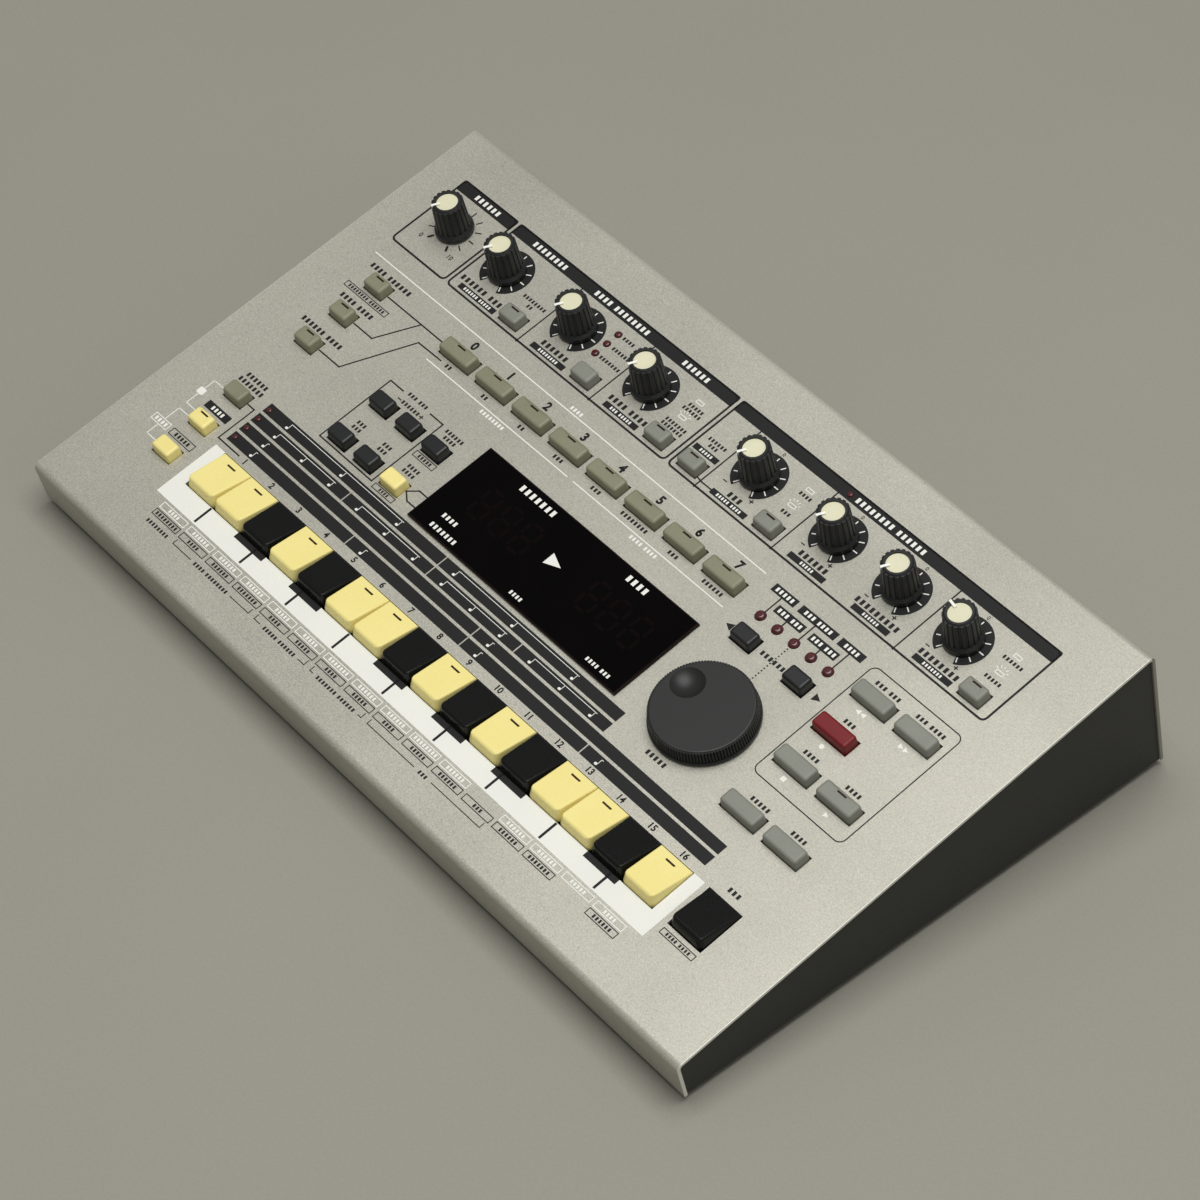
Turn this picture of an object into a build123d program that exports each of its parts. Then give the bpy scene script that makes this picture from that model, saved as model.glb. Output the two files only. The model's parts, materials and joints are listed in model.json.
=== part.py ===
from build123d import *
import math
import os

# A desktop groovebox. Lengths in millimetres, angles in degrees.
# Panel axes: x to the right, y up the sloped panel from its front edge, z square out of the panel.

# Case: a folded cover over a folded tray
case_width = 340.0
panel_depth = 205.0
panel_slope = 11.6
front_height = 17.7
cover_sheet = 1.2
cover_bend_inside = 1.3
tray_sheet = 1.2
tray_inset = 0.6
tray_flange = 10.0
fold_clearance = 0.1
cut_overrun = 4.0
hidden_side_count = 8

# Rubber feet
foot_radius = 7.0
foot_height = 3.0
foot_edge = 0.8
foot_margin = 24.0

# Clearances of everything that slides or turns
slide_clearance = 0.3
retain_clearance = 0.3
press_clearance = 0.2
shaft_clearance = 0.15
shaft_fit = 0.05

# Pads: a row of wedges and one more beside it
pad_count = 16
pad_pitch_share = 0.045
pad_gap = 0.3
pad_depth = 17.4
pad_front_height = 4.2
pad_rear_height = 0.6
pad_front_rake = 1.2
pad_side_rake = 0.8
pad_edge = 0.6
pad_flange = 1.2
pad_flange_thickness = 1.0
pad_plunger_radius = 2.5
pad_plunger_length = 2.0
pad_travel = 1.5
pad_lens_width = 4.5
pad_lens_depth = 0.8
pad_lens_recess = 0.4
pad_lens_setback = 2.8
pad_row_share = 0.1993
tap_spacing = 7.7
lit_pads = (1, 2, 4, 6, 7, 9, 11, 13, 14, 16)

# Contact mat under the pads
mat_sheet = 1.2
mat_margin = 2.0
dome_foot_radius = 4.5
dome_top_radius = 3.0

# Keys: moulded push buttons in two widths
short_key_share = 0.02824
long_key_share = 0.04706
key_depth = 6.5
key_height = 4.0
key_draft = 4.0
key_edge = 0.7
key_flange = 0.8
key_flange_thickness = 0.8
key_stem_radius = 1.5
key_stem_length = 1.5
key_travel = 1.0
key_lens_width = 4.1
key_lens_depth = 0.9
key_lens_recess = 0.4
key_lens_setback = 1.5

# Tact switches under the keys
switch_width = 6.0
switch_body_height = 3.5
switch_plunger_radius = 1.75
switch_plunger_height = 1.5

# Panel board, hung under the cover at the depth that the keys and their switches need
board_sheet = 1.6
board_margin = 11.0
board_drop = (cover_sheet + retain_clearance + key_flange_thickness + key_stem_length
              + key_travel + press_clearance + switch_plunger_height + switch_body_height)

# Spacers between the cover and the boards
spacer_radius = 3.2
spacer_corner_count = 6
spacer_side_shares = (-0.462, -0.15, 0.15, 0.462)
spacer_row_shares = (0.08, 0.935)
main_spacer_side_shares = (-0.42, 0.42)
main_spacer_row_shares = (0.15, 0.88)

# Potentiometers and the encoder
pot_width = 11.0
encoder_width = 14.0
body_gap = 1.4
bushing_radius = 4.5
bushing_rise = 1.6
shaft_radius = 3.0

# Knobs
knob_height = 15.6
knob_lift = 0.8
knob_skirt_radius = 7.2
knob_skirt_height = 1.3
knob_flare_radius = 7.0
knob_flare_height = 1.3
knob_foot_radius = 6.3
knob_top_radius = 5.8
knob_rib_count = 18
knob_rib_depth = 0.45
knob_rib_width_share = 0.62
knob_crown = 0.5
knob_cap_radius = 4.1
knob_cap_seat = 1.6
knob_cap_drop = 0.7
knob_pointer_width = 1.0
knob_pointer_start_share = 0.6
knob_hollow_clearance = 0.5
knob_stop_angle = -150.0
knob_row_share = 0.821

# Value dial
dial_radius = 18.5
dial_top_radius = 18.0
dial_height = 7.0
dial_lift = 0.8
dial_foot_height = 0.8
dial_foot_reach = 0.3
dial_crown = 0.4
dial_tooth_count = 110
dial_tooth_depth = 0.4
dial_tooth_width_share = 0.5
dial_dimple_radius = 6.0
dial_dimple_depth = 2.2
dial_dimple_angle = 164.0
dial_dimple_reach_share = 0.573
dial_row_share = 0.4429

# Display
window_width = 107.4
window_depth = 37.6
window_rise = 1.3
window_edge = 0.3
window_ledge = 3.0
window_row_share = 0.4634
digit_block_width = 32.0
digit_block_depth = 18.0
digit_gap = 0.8
digit_side_shares = (-0.228, 0.289)
digit_row_share = 0.04

# Indicator lamps: five by the dial, three by the knobs, one in the header, four by the pads
mode_lamp_radius = 2.0
small_lamp_radius = 1.4
step_lamp_radius = 1.1
lamp_clearance = 0.15
lamp_dome_share = 0.6
mode_lamp_count = 5
mode_lamp_row_share = 0.6337
small_lamp_shares = ((-0.172, 0.8585), (-0.172, 0.8327), (-0.172, 0.8063))
step_lamp_side_share = -0.3689
step_lamp_row_shares = (0.35, 0.3259, 0.3005, 0.2751)
header_lamp_side_share = 0.1516
header_lamp_row_share = 0.8941

# Main board, stacked under the panel board near the rear wall
main_board_drop = 38.0
main_board_margin = 16.0
main_board_floor_gap = 3.0
main_board_rear_gap = 1.0
chip_width = 28.0
chip_depth = 20.0
chip_height = 2.6
chip_side_shares = (-0.22, 0.0, 0.22)
chip_row_share = 0.32

# Rear sockets
jack_width = 16.0
jack_length = 26.0
jack_height = 14.0
jack_axis_height = 7.0
jack_nose_width = 12.0
jack_nose_reach = 0.6
jack_bore_radius = 3.35
jack_bore_end = 3.0
jack_side_shares = (-0.285, -0.205, -0.145, -0.075)
midi_width = 20.0
midi_length = 14.0
midi_height = 19.0
midi_axis_height = 9.5
midi_mouth_radius = 8.0
midi_well_radius = 7.0
midi_well_depth = 7.0
midi_insert_radius = 5.9
midi_insert_height = 6.0
midi_key_width = 2.2
midi_pin_radius = 0.8
midi_pin_circle_radius = 3.75
midi_pin_depth = 5.0
midi_pin_angles = (0.0, 45.0, 90.0, 135.0, 180.0)
midi_side_shares = (0.03, 0.115)
inlet_width = 9.6
inlet_length = 14.0
inlet_height = 11.0
inlet_axis_height = 6.0
inlet_nose_radius = 4.4
inlet_nose_reach = 0.6
inlet_bore_radius = 3.1
inlet_bore_depth = 9.5
inlet_pin_radius = 1.05
inlet_pin_setback = 1.0
inlet_side_share = 0.235
socket_clearance = 0.25

# Rear push buttons
power_width = 11.0
power_height = 7.0
power_travel = 2.5
power_side_share = 0.345
boost_width = 7.0
boost_height = 5.0
boost_travel = 2.0
boost_side_share = -0.36
rear_button_reach = 4.5
rear_button_axis_height = 7.5
rear_button_edge = 0.6
rear_button_flange = 1.0
rear_button_plunger_length = 3.0
rear_button_housing_length = 13.0
rear_button_housing_wall = 2.5

# Places of the knobs across the panel, with the angle each points to, clockwise from straight back
knob_side_shares = {
    "volume_knob": -0.4088,
    "arpeggio_knob": -0.3229,
    "timing_knob": -0.2094,
    "effect_knob": -0.0956,
    "modulation_knob": 0.0674,
    "cutoff_knob": 0.1809,
    "resonance_knob": 0.2709,
    "envelope_knob": 0.3553,
}
knob_rest_angles = dict.fromkeys(knob_side_shares, knob_stop_angle)
knob_rest_angles["envelope_knob"] = -78.0


def beside_window(share):
    """Side share of a place between the window's edge and the case's edge, negative on the left."""
    edge = window_width / 2
    return math.copysign((edge + abs(share) * (case_width / 2 - edge)) / case_width, share)


# Places beside the display window
dial_side_share = beside_window(0.2417)
mode_lamp_first = 0.1013
mode_lamp_step = 0.0696
mode_lamp_side_shares = [beside_window(mode_lamp_first + mode_lamp_step * step) for step in range(mode_lamp_count)]
pattern_left_share = beside_window(-0.3644)
pattern_middle_share = beside_window(-0.2408)
pattern_right_share = beside_window(-0.1168)
select_left_share = beside_window(0.1306)
select_right_share = beside_window(0.3457)
transport_left_share = beside_window(0.5469)
transport_right_share = beside_window(0.7179)

# Places of the keys, as shares of the case width and of the panel depth
part_first_share = -0.2724
part_step_share = 0.058
key_shares = {
    "part_buttons": [(part_first_share + part_step_share * step, 0.6444) for step in range(8)],
    "left_column_buttons": [(-0.4079, 0.6463), (-0.4079, 0.5673), (-0.4079, 0.4898), (-0.4079, 0.3332)],
    "section_buttons": [(-0.2694, 0.7605), (-0.1553, 0.7605), (-0.0421, 0.7605),
                        (0.0085, 0.7605), (0.1203, 0.7605), (0.4076, 0.7605)],
    "pattern_buttons": [(pattern_left_share, 0.4893), (pattern_middle_share, 0.4893), (pattern_right_share, 0.4893),
                        (pattern_left_share, 0.398), (pattern_middle_share, 0.398)],
    "play_mode_button": [(pattern_right_share, 0.398)],
    "function_button": [(-0.4074, 0.2551)],
    "shift_button": [(-0.4074, 0.1771)],
    "select_left_button": [(select_left_share, 0.5873)],
    "select_right_button": [(select_right_share, 0.5873)],
    "back_button": [(transport_left_share, 0.6439)],
    "forward_button": [(transport_right_share, 0.6439)],
    "record_button": [(transport_left_share, 0.561)],
    "stop_button": [(transport_left_share, 0.4793)],
    "play_button": [(transport_right_share, 0.4793)],
    "enter_button": [(transport_left_share, 0.3678)],
    "exit_button": [(transport_right_share, 0.3678)],
}
long_keys = ("part_buttons", "back_button", "forward_button", "record_button",
             "stop_button", "play_button", "enter_button", "exit_button")
lit_keys = {"part_buttons": range(8), "left_column_buttons": range(3), "section_buttons": (0, 2, 3, 4, 5),
            "function_button": (0,), "play_button": (0,)}

# Sizes that follow from those above
slope = math.radians(panel_slope)
cover_bend = cover_bend_inside + cover_sheet
flange_top = -(cover_sheet + retain_clearance)
main_board_top = -main_board_drop
short_key_width = short_key_share * case_width
long_key_width = long_key_share * case_width
pad_pitch = pad_pitch_share * case_width
pad_width = pad_pitch - pad_gap
pad_row_width = pad_count * pad_pitch - pad_gap
tap_place = pad_row_width / 2 + tap_spacing + pad_width / 2
mat_dome_height = (board_drop - mat_sheet - cover_sheet - retain_clearance - pad_flange_thickness
                   - pad_plunger_length - pad_travel - press_clearance)
front_reach = cover_bend * (math.cos(slope) + math.sin(slope) - 1)
rear_reach = panel_depth * math.cos(slope) + (front_height + panel_depth * math.sin(slope)) * math.tan(slope)
panel_front = -(front_reach + rear_reach) / 2
panel = Plane(origin=(0, panel_front, foot_height + front_height), x_dir=(1, 0, 0),
              z_dir=(0, -math.sin(slope), math.cos(slope)))

stand = (Align.CENTER, Align.CENTER, Align.MIN)
hang = (Align.CENTER, Align.CENTER, Align.MAX)
from_front = (Align.CENTER, Align.MIN, Align.MIN)


def floor_at(depth):
    """Height of the case's underside at a depth, in panel axes."""
    return -(front_height + depth * math.sin(slope)) / math.cos(slope)


def depth_at(height):
    """Depth at which the case's underside has a height, in panel axes."""
    return (-height * math.cos(slope) - front_height) / math.sin(slope)


def place(side_share, row_share):
    """Place on the panel from shares of the case width and of the panel depth."""
    return Pos(side_share * case_width, row_share * panel_depth)


def across_rear(side_share, height):
    """Place on the outer face of the rear wall, turned so that +z points out of the wall."""
    return Pos(side_share * case_width, panel_depth, height) * Rot(-90, 0, 0)


def case_outline(inset, bend, floor_rise):
    """Side outline of the case, set in from lip, panel and rear wall, with its floor raised."""
    rear = panel_depth - inset
    face = Polygon((inset, floor_at(inset) + floor_rise), (inset, -inset), (rear, -inset),
                   (rear, floor_at(rear) + floor_rise), align=None)
    return fillet(face.vertices().sort_by(Axis.Y)[-2:], bend)


def across_case(outline, width):
    """Outline carried across the case, centred on its middle."""
    return extrude(Plane.YZ * outline, width / 2, both=True)


def panel_cut(width, depth):
    """Rectangular cutter through the panel sheet, with sliding clearance all round."""
    return Box(width + 2 * slide_clearance, depth + 2 * slide_clearance, 2 * (cover_sheet + cut_overrun))


def hidden_post(radius, length):
    """Post standing on z = 0, with few sides because nothing shows it."""
    return extrude(RegularPolygon(radius, hidden_side_count), length)


def round_cut(radius):
    """Round cutter through a sheet."""
    return Cylinder(radius, 2 * (cover_sheet + cut_overrun))


def key_width(name):
    return long_key_width if name in long_keys else short_key_width


def lamp_places():
    """Every indicator lamp as a place on the panel and a radius."""
    mode = [(place(side, mode_lamp_row_share), mode_lamp_radius) for side in mode_lamp_side_shares]
    small = [(place(side, row), small_lamp_radius) for side, row in small_lamp_shares]
    step = [(place(step_lamp_side_share, row), step_lamp_radius) for row in step_lamp_row_shares]
    header = [(place(header_lamp_side_share, header_lamp_row_share), step_lamp_radius)]
    return mode + small + step + header


def pad_place(number):
    """Place of a pad in the row, numbered from 1 at the left."""
    side = (number - (pad_count + 1) / 2) * pad_pitch
    return Pos(side, pad_row_share * panel_depth)


def panel_cutters():
    """Cut-outs of the sloped panel."""
    row = Pos(0, pad_row_share * panel_depth) * panel_cut(pad_row_width, pad_depth)
    tap = Pos(tap_place, pad_row_share * panel_depth) * panel_cut(pad_width, pad_depth)
    keys = [place(*share) * panel_cut(key_width(name), key_depth)
            for name, shares in key_shares.items() for share in shares]
    bushing = round_cut(bushing_radius + socket_clearance)
    pots = [place(side, knob_row_share) * bushing for side in knob_side_shares.values()]
    dial = place(dial_side_share, dial_row_share) * bushing
    lamps = [spot * round_cut(radius + lamp_clearance) for spot, radius in lamp_places()]
    glass = Box(window_width - 2 * window_ledge, window_depth - 2 * window_ledge,
                2 * (cover_sheet + cut_overrun))
    window = place(0, window_row_share) * glass
    return [row, tap, *keys, *pots, dial, *lamps, window]


def rear_cutters():
    """Cut-outs of the rear wall."""
    jack_hole = jack_nose_width + 2 * socket_clearance
    jacks = [across_rear(side, main_board_top + jack_axis_height)
             * Box(jack_hole, jack_hole, 2 * (cover_sheet + cut_overrun)) for side in jack_side_shares]
    midi = [across_rear(side, main_board_top + midi_axis_height)
            * round_cut(midi_mouth_radius) for side in midi_side_shares]
    inlet = (across_rear(inlet_side_share, main_board_top + inlet_axis_height)
             * round_cut(inlet_nose_radius + socket_clearance))
    height = main_board_top + rear_button_axis_height
    power = across_rear(power_side_share, height) * panel_cut(power_width, power_height)
    boost = across_rear(boost_side_share, height) * panel_cut(boost_width, boost_height)
    return [*jacks, *midi, inlet, power, boost]


def top_cover():
    """Lip, sloped panel and rear wall folded from one sheet."""
    outside = case_outline(0, cover_bend, 0)
    inside = case_outline(cover_sheet, cover_bend_inside, -cut_overrun)
    sheet = across_case(outside - inside, case_width)
    return sheet.cut(*panel_cutters(), *rear_cutters())


def bottom_tray():
    """Floor with two side walls, and low flanges behind the lip and the rear wall."""
    seat = cover_sheet + fold_clearance
    width = case_width - 2 * tray_inset
    inner_width = width - 2 * tray_sheet
    floor_sheet = tray_sheet / math.cos(slope)
    block = across_case(case_outline(seat, cover_bend_inside, 0), width)
    front = seat + tray_sheet
    rear = panel_depth - front
    hollow = Polygon((front, floor_at(front) + floor_sheet), (rear, floor_at(rear) + floor_sheet),
                     (rear, cut_overrun), (front, cut_overrun), align=None)
    far = panel_depth + cut_overrun
    above = Polygon((-cut_overrun, floor_at(-cut_overrun) + tray_flange), (far, floor_at(far) + tray_flange),
                    (far, cut_overrun), (-cut_overrun, cut_overrun), align=None)
    return block - across_case(hollow, inner_width) - across_case(above, inner_width)


def rubber_feet():
    """Four feet under the tray, in the part's own axes."""
    side = case_width / 2 - foot_margin
    front = panel_front + foot_margin
    rear = panel_front + rear_reach - foot_margin
    foot = Cylinder(foot_radius, foot_height, align=stand)
    foot = chamfer(foot.edges().group_by(Axis.Z)[0], foot_edge)
    return [Pos(x, y) * foot for x in (-side, side) for y in (front, rear)]


def pad(lit):
    """Wedge-shaped pad with raked sides, retaining flanges and a plunger."""
    half = pad_depth / 2
    profile = Polygon((-half, 0), (half, 0), (half, pad_rear_height),
                      (pad_front_rake - half, pad_front_height), align=None)
    side = pad_width / 2
    face = Polygon((-side, 0), (side, 0), (side - pad_side_rake, pad_front_height),
                   (pad_side_rake - side, pad_front_height), align=None)
    wedge = across_case(profile, pad_width) & extrude(Plane.XZ * face, half, both=True)
    soft_edges = [edge for edge in wedge.edges() if edge.center().Z > pad_rear_height + pad_edge / 2]
    wedge = chamfer(soft_edges, pad_edge)
    if lit:
        fall = (pad_front_height - pad_rear_height) / (pad_depth - pad_front_rake)
        level = pad_rear_height + fall * pad_lens_setback - pad_lens_recess
        slot = Box(pad_lens_width, pad_lens_depth, pad_front_height, align=stand)
        wedge -= Pos(0, half - pad_lens_setback, level) * slot
    neck = Box(pad_width, pad_depth, -flange_top, align=hang)
    flange = Pos(0, 0, flange_top) * Box(pad_width, pad_depth + 2 * pad_flange, pad_flange_thickness, align=hang)
    plunger_end = flange_top - pad_flange_thickness - pad_plunger_length
    plunger = Pos(0, 0, plunger_end) * hidden_post(pad_plunger_radius, pad_plunger_length)
    return wedge + neck + flange + plunger


def contact_mat(width, dome_sides):
    """Rubber mat on the panel board with a collapsing dome under each pad."""
    base = -board_drop
    sheet = Pos(0, 0, base) * Box(width, pad_depth, mat_sheet, align=stand)
    dome = loft([RegularPolygon(dome_foot_radius, hidden_side_count),
                 Pos(0, 0, mat_dome_height) * RegularPolygon(dome_top_radius, hidden_side_count)], ruled=True)
    domes = [Pos(side, 0, base + mat_sheet) * dome for side in dome_sides]
    return Pos(0, pad_row_share * panel_depth) * sheet.fuse(*domes)


def contact_mats():
    """One mat for the pad row and a short one for the pad beside it."""
    row = contact_mat(pad_row_width + 2 * mat_margin, [pad_place(n + 1).position.X for n in range(pad_count)])
    return [row, Pos(tap_place) * contact_mat(pad_width, [0])]


def key(width, lit):
    """Moulded key: drafted cap with broken top edges, retaining flange and stem."""
    cap = extrude(Rectangle(width, key_depth), key_height, taper=key_draft)
    cap = chamfer(cap.faces().sort_by(Axis.Z)[-1].edges(), key_edge)
    if lit:
        slot = Box(key_lens_width, key_lens_depth, key_lens_recess, align=hang)
        cap -= Pos(0, key_depth / 2 - key_lens_setback, key_height) * slot
    neck = Box(width, key_depth, -flange_top, align=hang)
    flange = Pos(0, 0, flange_top) * Box(width + 2 * key_flange, key_depth + 2 * key_flange,
                                         key_flange_thickness, align=hang)
    stem_end = flange_top - key_flange_thickness - key_stem_length
    stem = Pos(0, 0, stem_end) * hidden_post(key_stem_radius, key_stem_length)
    return cap + neck + flange + stem


def tact_switches():
    """One switch on the panel board under each key."""
    body = Box(switch_width, switch_width, switch_body_height, align=stand)
    plunger = hidden_post(switch_plunger_radius, switch_plunger_height)
    switch = Pos(0, 0, -board_drop) * (body + Pos(0, 0, switch_body_height) * plunger)
    return [place(*share) * switch for shares in key_shares.values() for share in shares]


def panel_board():
    """Board that carries every control of the panel."""
    width = case_width - 2 * board_margin
    depth = panel_depth - 2 * board_margin
    return Pos(0, panel_depth / 2, -board_drop) * Box(width, depth, board_sheet, align=hang)


def main_board_span():
    """Front and rear edges of the main board, kept clear of the floor and of the rear wall."""
    front = depth_at(-(main_board_drop + board_sheet + main_board_floor_gap))
    return front, panel_depth - cover_sheet - main_board_rear_gap


def main_board():
    """Main board with its chips and the housings of the two rear buttons soldered on."""
    front, rear = main_board_span()
    width = case_width - 2 * main_board_margin
    board = Pos(0, (front + rear) / 2, main_board_top) * Box(width, rear - front, board_sheet, align=hang)
    chip = Box(chip_width, chip_depth, chip_height, align=stand)
    row = front + chip_row_share * (rear - front)
    chips = [Pos(side * case_width, row, main_board_top) * chip for side in chip_side_shares]
    power = Pos(power_side_share * case_width) * rear_button_housing(power_width, power_height, power_travel)
    boost = Pos(boost_side_share * case_width) * rear_button_housing(boost_width, boost_height, boost_travel)
    return board.fuse(*chips, power, boost)


def board_spacers():
    """Short spacers hold the panel board to the cover, long ones hang the main board under it."""
    section = RegularPolygon(spacer_radius, spacer_corner_count)
    short = extrude(section, board_drop - cover_sheet)
    low = [place(side, row) * Pos(0, 0, -board_drop) * short
           for side in spacer_side_shares for row in spacer_row_shares]
    front, rear = main_board_span()
    long = extrude(section, main_board_drop - board_drop - board_sheet)
    deep = [Pos(side * case_width, front + row * (rear - front), main_board_top) * long
            for side in main_spacer_side_shares for row in main_spacer_row_shares]
    return low + deep


def rotary_control(width):
    """Body on the panel board with a hollow bushing up through the panel."""
    body_height = board_drop - cover_sheet - body_gap
    body = Box(width, width, body_height, align=stand)
    bushing = Cylinder(bushing_radius, board_drop + bushing_rise, align=stand)
    bore = Cylinder(shaft_radius + shaft_clearance, board_drop + bushing_rise, align=stand)
    return Pos(0, 0, -board_drop) * (body + bushing - Pos(0, 0, body_height) * bore)


def shaft(top):
    """Turning shaft from just above the control's body to a height over the panel."""
    foot = -(cover_sheet + body_gap) + shaft_clearance
    return Pos(0, 0, foot) * Cylinder(shaft_radius, top - foot, align=stand)


def ribbed_grip(foot_radius, top_radius, height, ribs, rib_depth, rib_width_share):
    """Tapered grip with square ribs round it."""
    def ring(radius):
        points = []
        for step in range(ribs):
            for turn, reach in ((0, radius), (rib_width_share, radius),
                                (rib_width_share, radius - rib_depth), (1, radius - rib_depth)):
                angle = 2 * math.pi * (step + turn) / ribs
                points.append((reach * math.cos(angle), reach * math.sin(angle)))
        return Polygon(*points, align=None)
    return loft([ring(foot_radius), Pos(0, 0, height) * ring(top_radius)], ruled=True)


def shaft_socket(lift, top):
    """Cutter for the hollow over the bushing and the socket that grips the shaft."""
    hollow_top = bushing_rise + knob_hollow_clearance
    hollow = hidden_post(bushing_radius + knob_hollow_clearance, hollow_top - lift)
    socket = hidden_post((shaft_radius + shaft_fit) / math.cos(math.pi / hidden_side_count), top - lift)
    return Pos(0, 0, lift) * (hollow + socket)


def knob(rest_angle):
    """Skirted knob with a ribbed grip, its shaft, and a cap sunk into its top with a pointer across the rim."""
    skirt = Pos(0, 0, knob_lift) * Cone(knob_skirt_radius, knob_flare_radius, knob_skirt_height, align=stand)
    flare_foot = knob_lift + knob_skirt_height
    flare = Pos(0, 0, flare_foot) * Cone(knob_flare_radius, knob_foot_radius, knob_flare_height, align=stand)
    grip_foot = flare_foot + knob_flare_height
    shoulder = knob_height - knob_crown
    grip = Pos(0, 0, grip_foot) * ribbed_grip(
        knob_foot_radius, knob_top_radius, shoulder - grip_foot,
        knob_rib_count, knob_rib_depth, knob_rib_width_share)
    crown_radius = knob_top_radius - knob_rib_depth
    crown = Pos(0, 0, shoulder) * Cone(crown_radius, crown_radius - knob_crown, knob_crown, align=stand)
    cap_foot = knob_height - knob_cap_seat
    seat = Pos(0, 0, cap_foot) * Cylinder(knob_cap_radius + shaft_fit, knob_cap_seat + cut_overrun, align=stand)
    start = knob_pointer_start_share * knob_cap_radius
    pointer_spot = Rot(0, 0, -rest_angle) * Pos(0, start, cap_foot)
    pointer = pointer_spot * Box(knob_pointer_width, knob_top_radius - start, knob_cap_seat, align=from_front)
    slot = pointer_spot * Box(knob_pointer_width + 2 * shaft_fit, knob_top_radius, knob_cap_seat + cut_overrun,
                              align=from_front)
    shaft_top = cap_foot - knob_crown
    body = skirt + flare + grip + crown - seat - slot - shaft_socket(knob_lift, shaft_top)
    cap = Pos(0, 0, cap_foot) * Cylinder(knob_cap_radius, knob_cap_seat - knob_cap_drop, align=stand)
    return [body, cap + pointer, shaft(shaft_top)]


def dial():
    """Flat value dial with a toothed edge and a finger dimple, on its own shaft."""
    foot = Pos(0, 0, dial_lift) * Cylinder(dial_radius + dial_foot_reach, dial_foot_height, align=stand)
    grip_foot = dial_lift + dial_foot_height
    shoulder = dial_height - dial_crown
    grip = Pos(0, 0, grip_foot) * ribbed_grip(dial_radius, dial_top_radius, shoulder - grip_foot,
                                              dial_tooth_count, dial_tooth_depth, dial_tooth_width_share)
    crown_radius = dial_top_radius - dial_tooth_depth
    crown = Pos(0, 0, shoulder) * Cone(crown_radius, crown_radius - dial_crown, dial_crown, align=stand)
    ball_radius = (dial_dimple_radius ** 2 + dial_dimple_depth ** 2) / (2 * dial_dimple_depth)
    dimple = (Rot(0, 0, dial_dimple_angle)
              * Pos(dial_dimple_reach_share * dial_radius, 0, dial_height + ball_radius - dial_dimple_depth)
              * Sphere(ball_radius))
    shaft_top = dial_height - dial_dimple_depth
    body = foot + grip + crown - shaft_socket(dial_lift, shaft_top) - dimple
    return [body, shaft(shaft_top)]


def display_window():
    """Smoked plate that lies on the panel over the display cut-out."""
    plate = Box(window_width, window_depth, window_rise, align=stand)
    return place(0, window_row_share) * chamfer(plate.edges().group_by(Axis.Z)[-1], window_edge)


def digit_displays():
    """Two three-digit blocks on the panel board, reaching up into the display cut-out."""
    block = Box(digit_block_width, digit_block_depth, board_drop - digit_gap, align=stand)
    return [place(0, window_row_share)
            * Pos(side * window_width, digit_row_share * window_depth, -board_drop) * block
            for side in digit_side_shares]


def lamp(radius):
    """Round lamp with a tapered lens, standing on the panel board."""
    body = Cylinder(radius, board_drop + radius * lamp_dome_share, align=stand)
    return Pos(0, 0, -board_drop) * chamfer(body.edges().group_by(Axis.Z)[-1], radius * lamp_dome_share)


def socket_block(width, length, height, axis_height):
    """Block on the main board, close behind the rear wall."""
    return Pos(0, axis_height, -cover_sheet) * Box(width, height, length, align=(
        Align.CENTER, Align.MAX, Align.MAX))


def audio_jack():
    """Quarter-inch socket: a block with a square nose through the wall and a blind bore."""
    block = socket_block(jack_width, jack_length, jack_height, jack_axis_height)
    nose = Pos(0, 0, -cover_sheet) * Box(jack_nose_width, jack_nose_width, cover_sheet + jack_nose_reach, align=stand)
    bore_depth = jack_nose_reach + cover_sheet + jack_length - jack_bore_end
    return block + nose - Pos(0, 0, jack_nose_reach) * Cylinder(jack_bore_radius, bore_depth, align=hang)


def midi_socket():
    """Five-pin round socket: a well for the plug's shell, round an insert with the pin holes."""
    mouth = Pos(0, 0, -cover_sheet)
    block = socket_block(midi_width, midi_length, midi_height, midi_axis_height)
    well = mouth * Cylinder(midi_well_radius, midi_well_depth, align=hang)
    foot = Pos(0, 0, -cover_sheet - midi_well_depth)
    insert = foot * Cylinder(midi_insert_radius, midi_insert_height, align=stand)
    notch = foot * Pos(0, midi_insert_radius) * Box(midi_key_width, midi_key_width, midi_insert_height, align=stand)
    pins = [foot * Rot(0, 0, angle) * Pos(-midi_pin_circle_radius, 0, midi_insert_height)
            * Cylinder(midi_pin_radius, midi_pin_depth, align=hang) for angle in midi_pin_angles]
    return [block - well, insert - notch - pins]


def dc_inlet():
    """Barrel inlet with a round nose through the wall, and its centre pin."""
    block = socket_block(inlet_width, inlet_length, inlet_height, inlet_axis_height)
    nose = Pos(0, 0, -cover_sheet) * Cylinder(inlet_nose_radius, cover_sheet + inlet_nose_reach, align=stand)
    well = Pos(0, 0, inlet_nose_reach) * Cylinder(inlet_bore_radius, inlet_bore_depth, align=hang)
    pin = Pos(0, 0, inlet_nose_reach - inlet_bore_depth) * Cylinder(
        inlet_pin_radius, inlet_bore_depth - inlet_pin_setback, align=stand)
    return [block + nose - well, pin]


def rear_button(width, height):
    """Push button through the rear wall, in wall axes, with a flange behind the wall and a plunger."""
    cap = Box(width, height, rear_button_reach, align=stand)
    cap = chamfer(cap.edges().group_by(Axis.Z)[-1], rear_button_edge)
    neck = Box(width, height, -flange_top, align=hang)
    flange = Pos(0, 0, flange_top) * Box(width + 2 * rear_button_flange, height + 2 * rear_button_flange,
                                         rear_button_flange, align=hang)
    plunger = Pos(0, 0, flange_top - rear_button_flange) * Box(
        width - 2 * rear_button_flange, height - 2 * rear_button_flange, rear_button_plunger_length, align=hang)
    return cap + neck + flange + plunger


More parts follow.
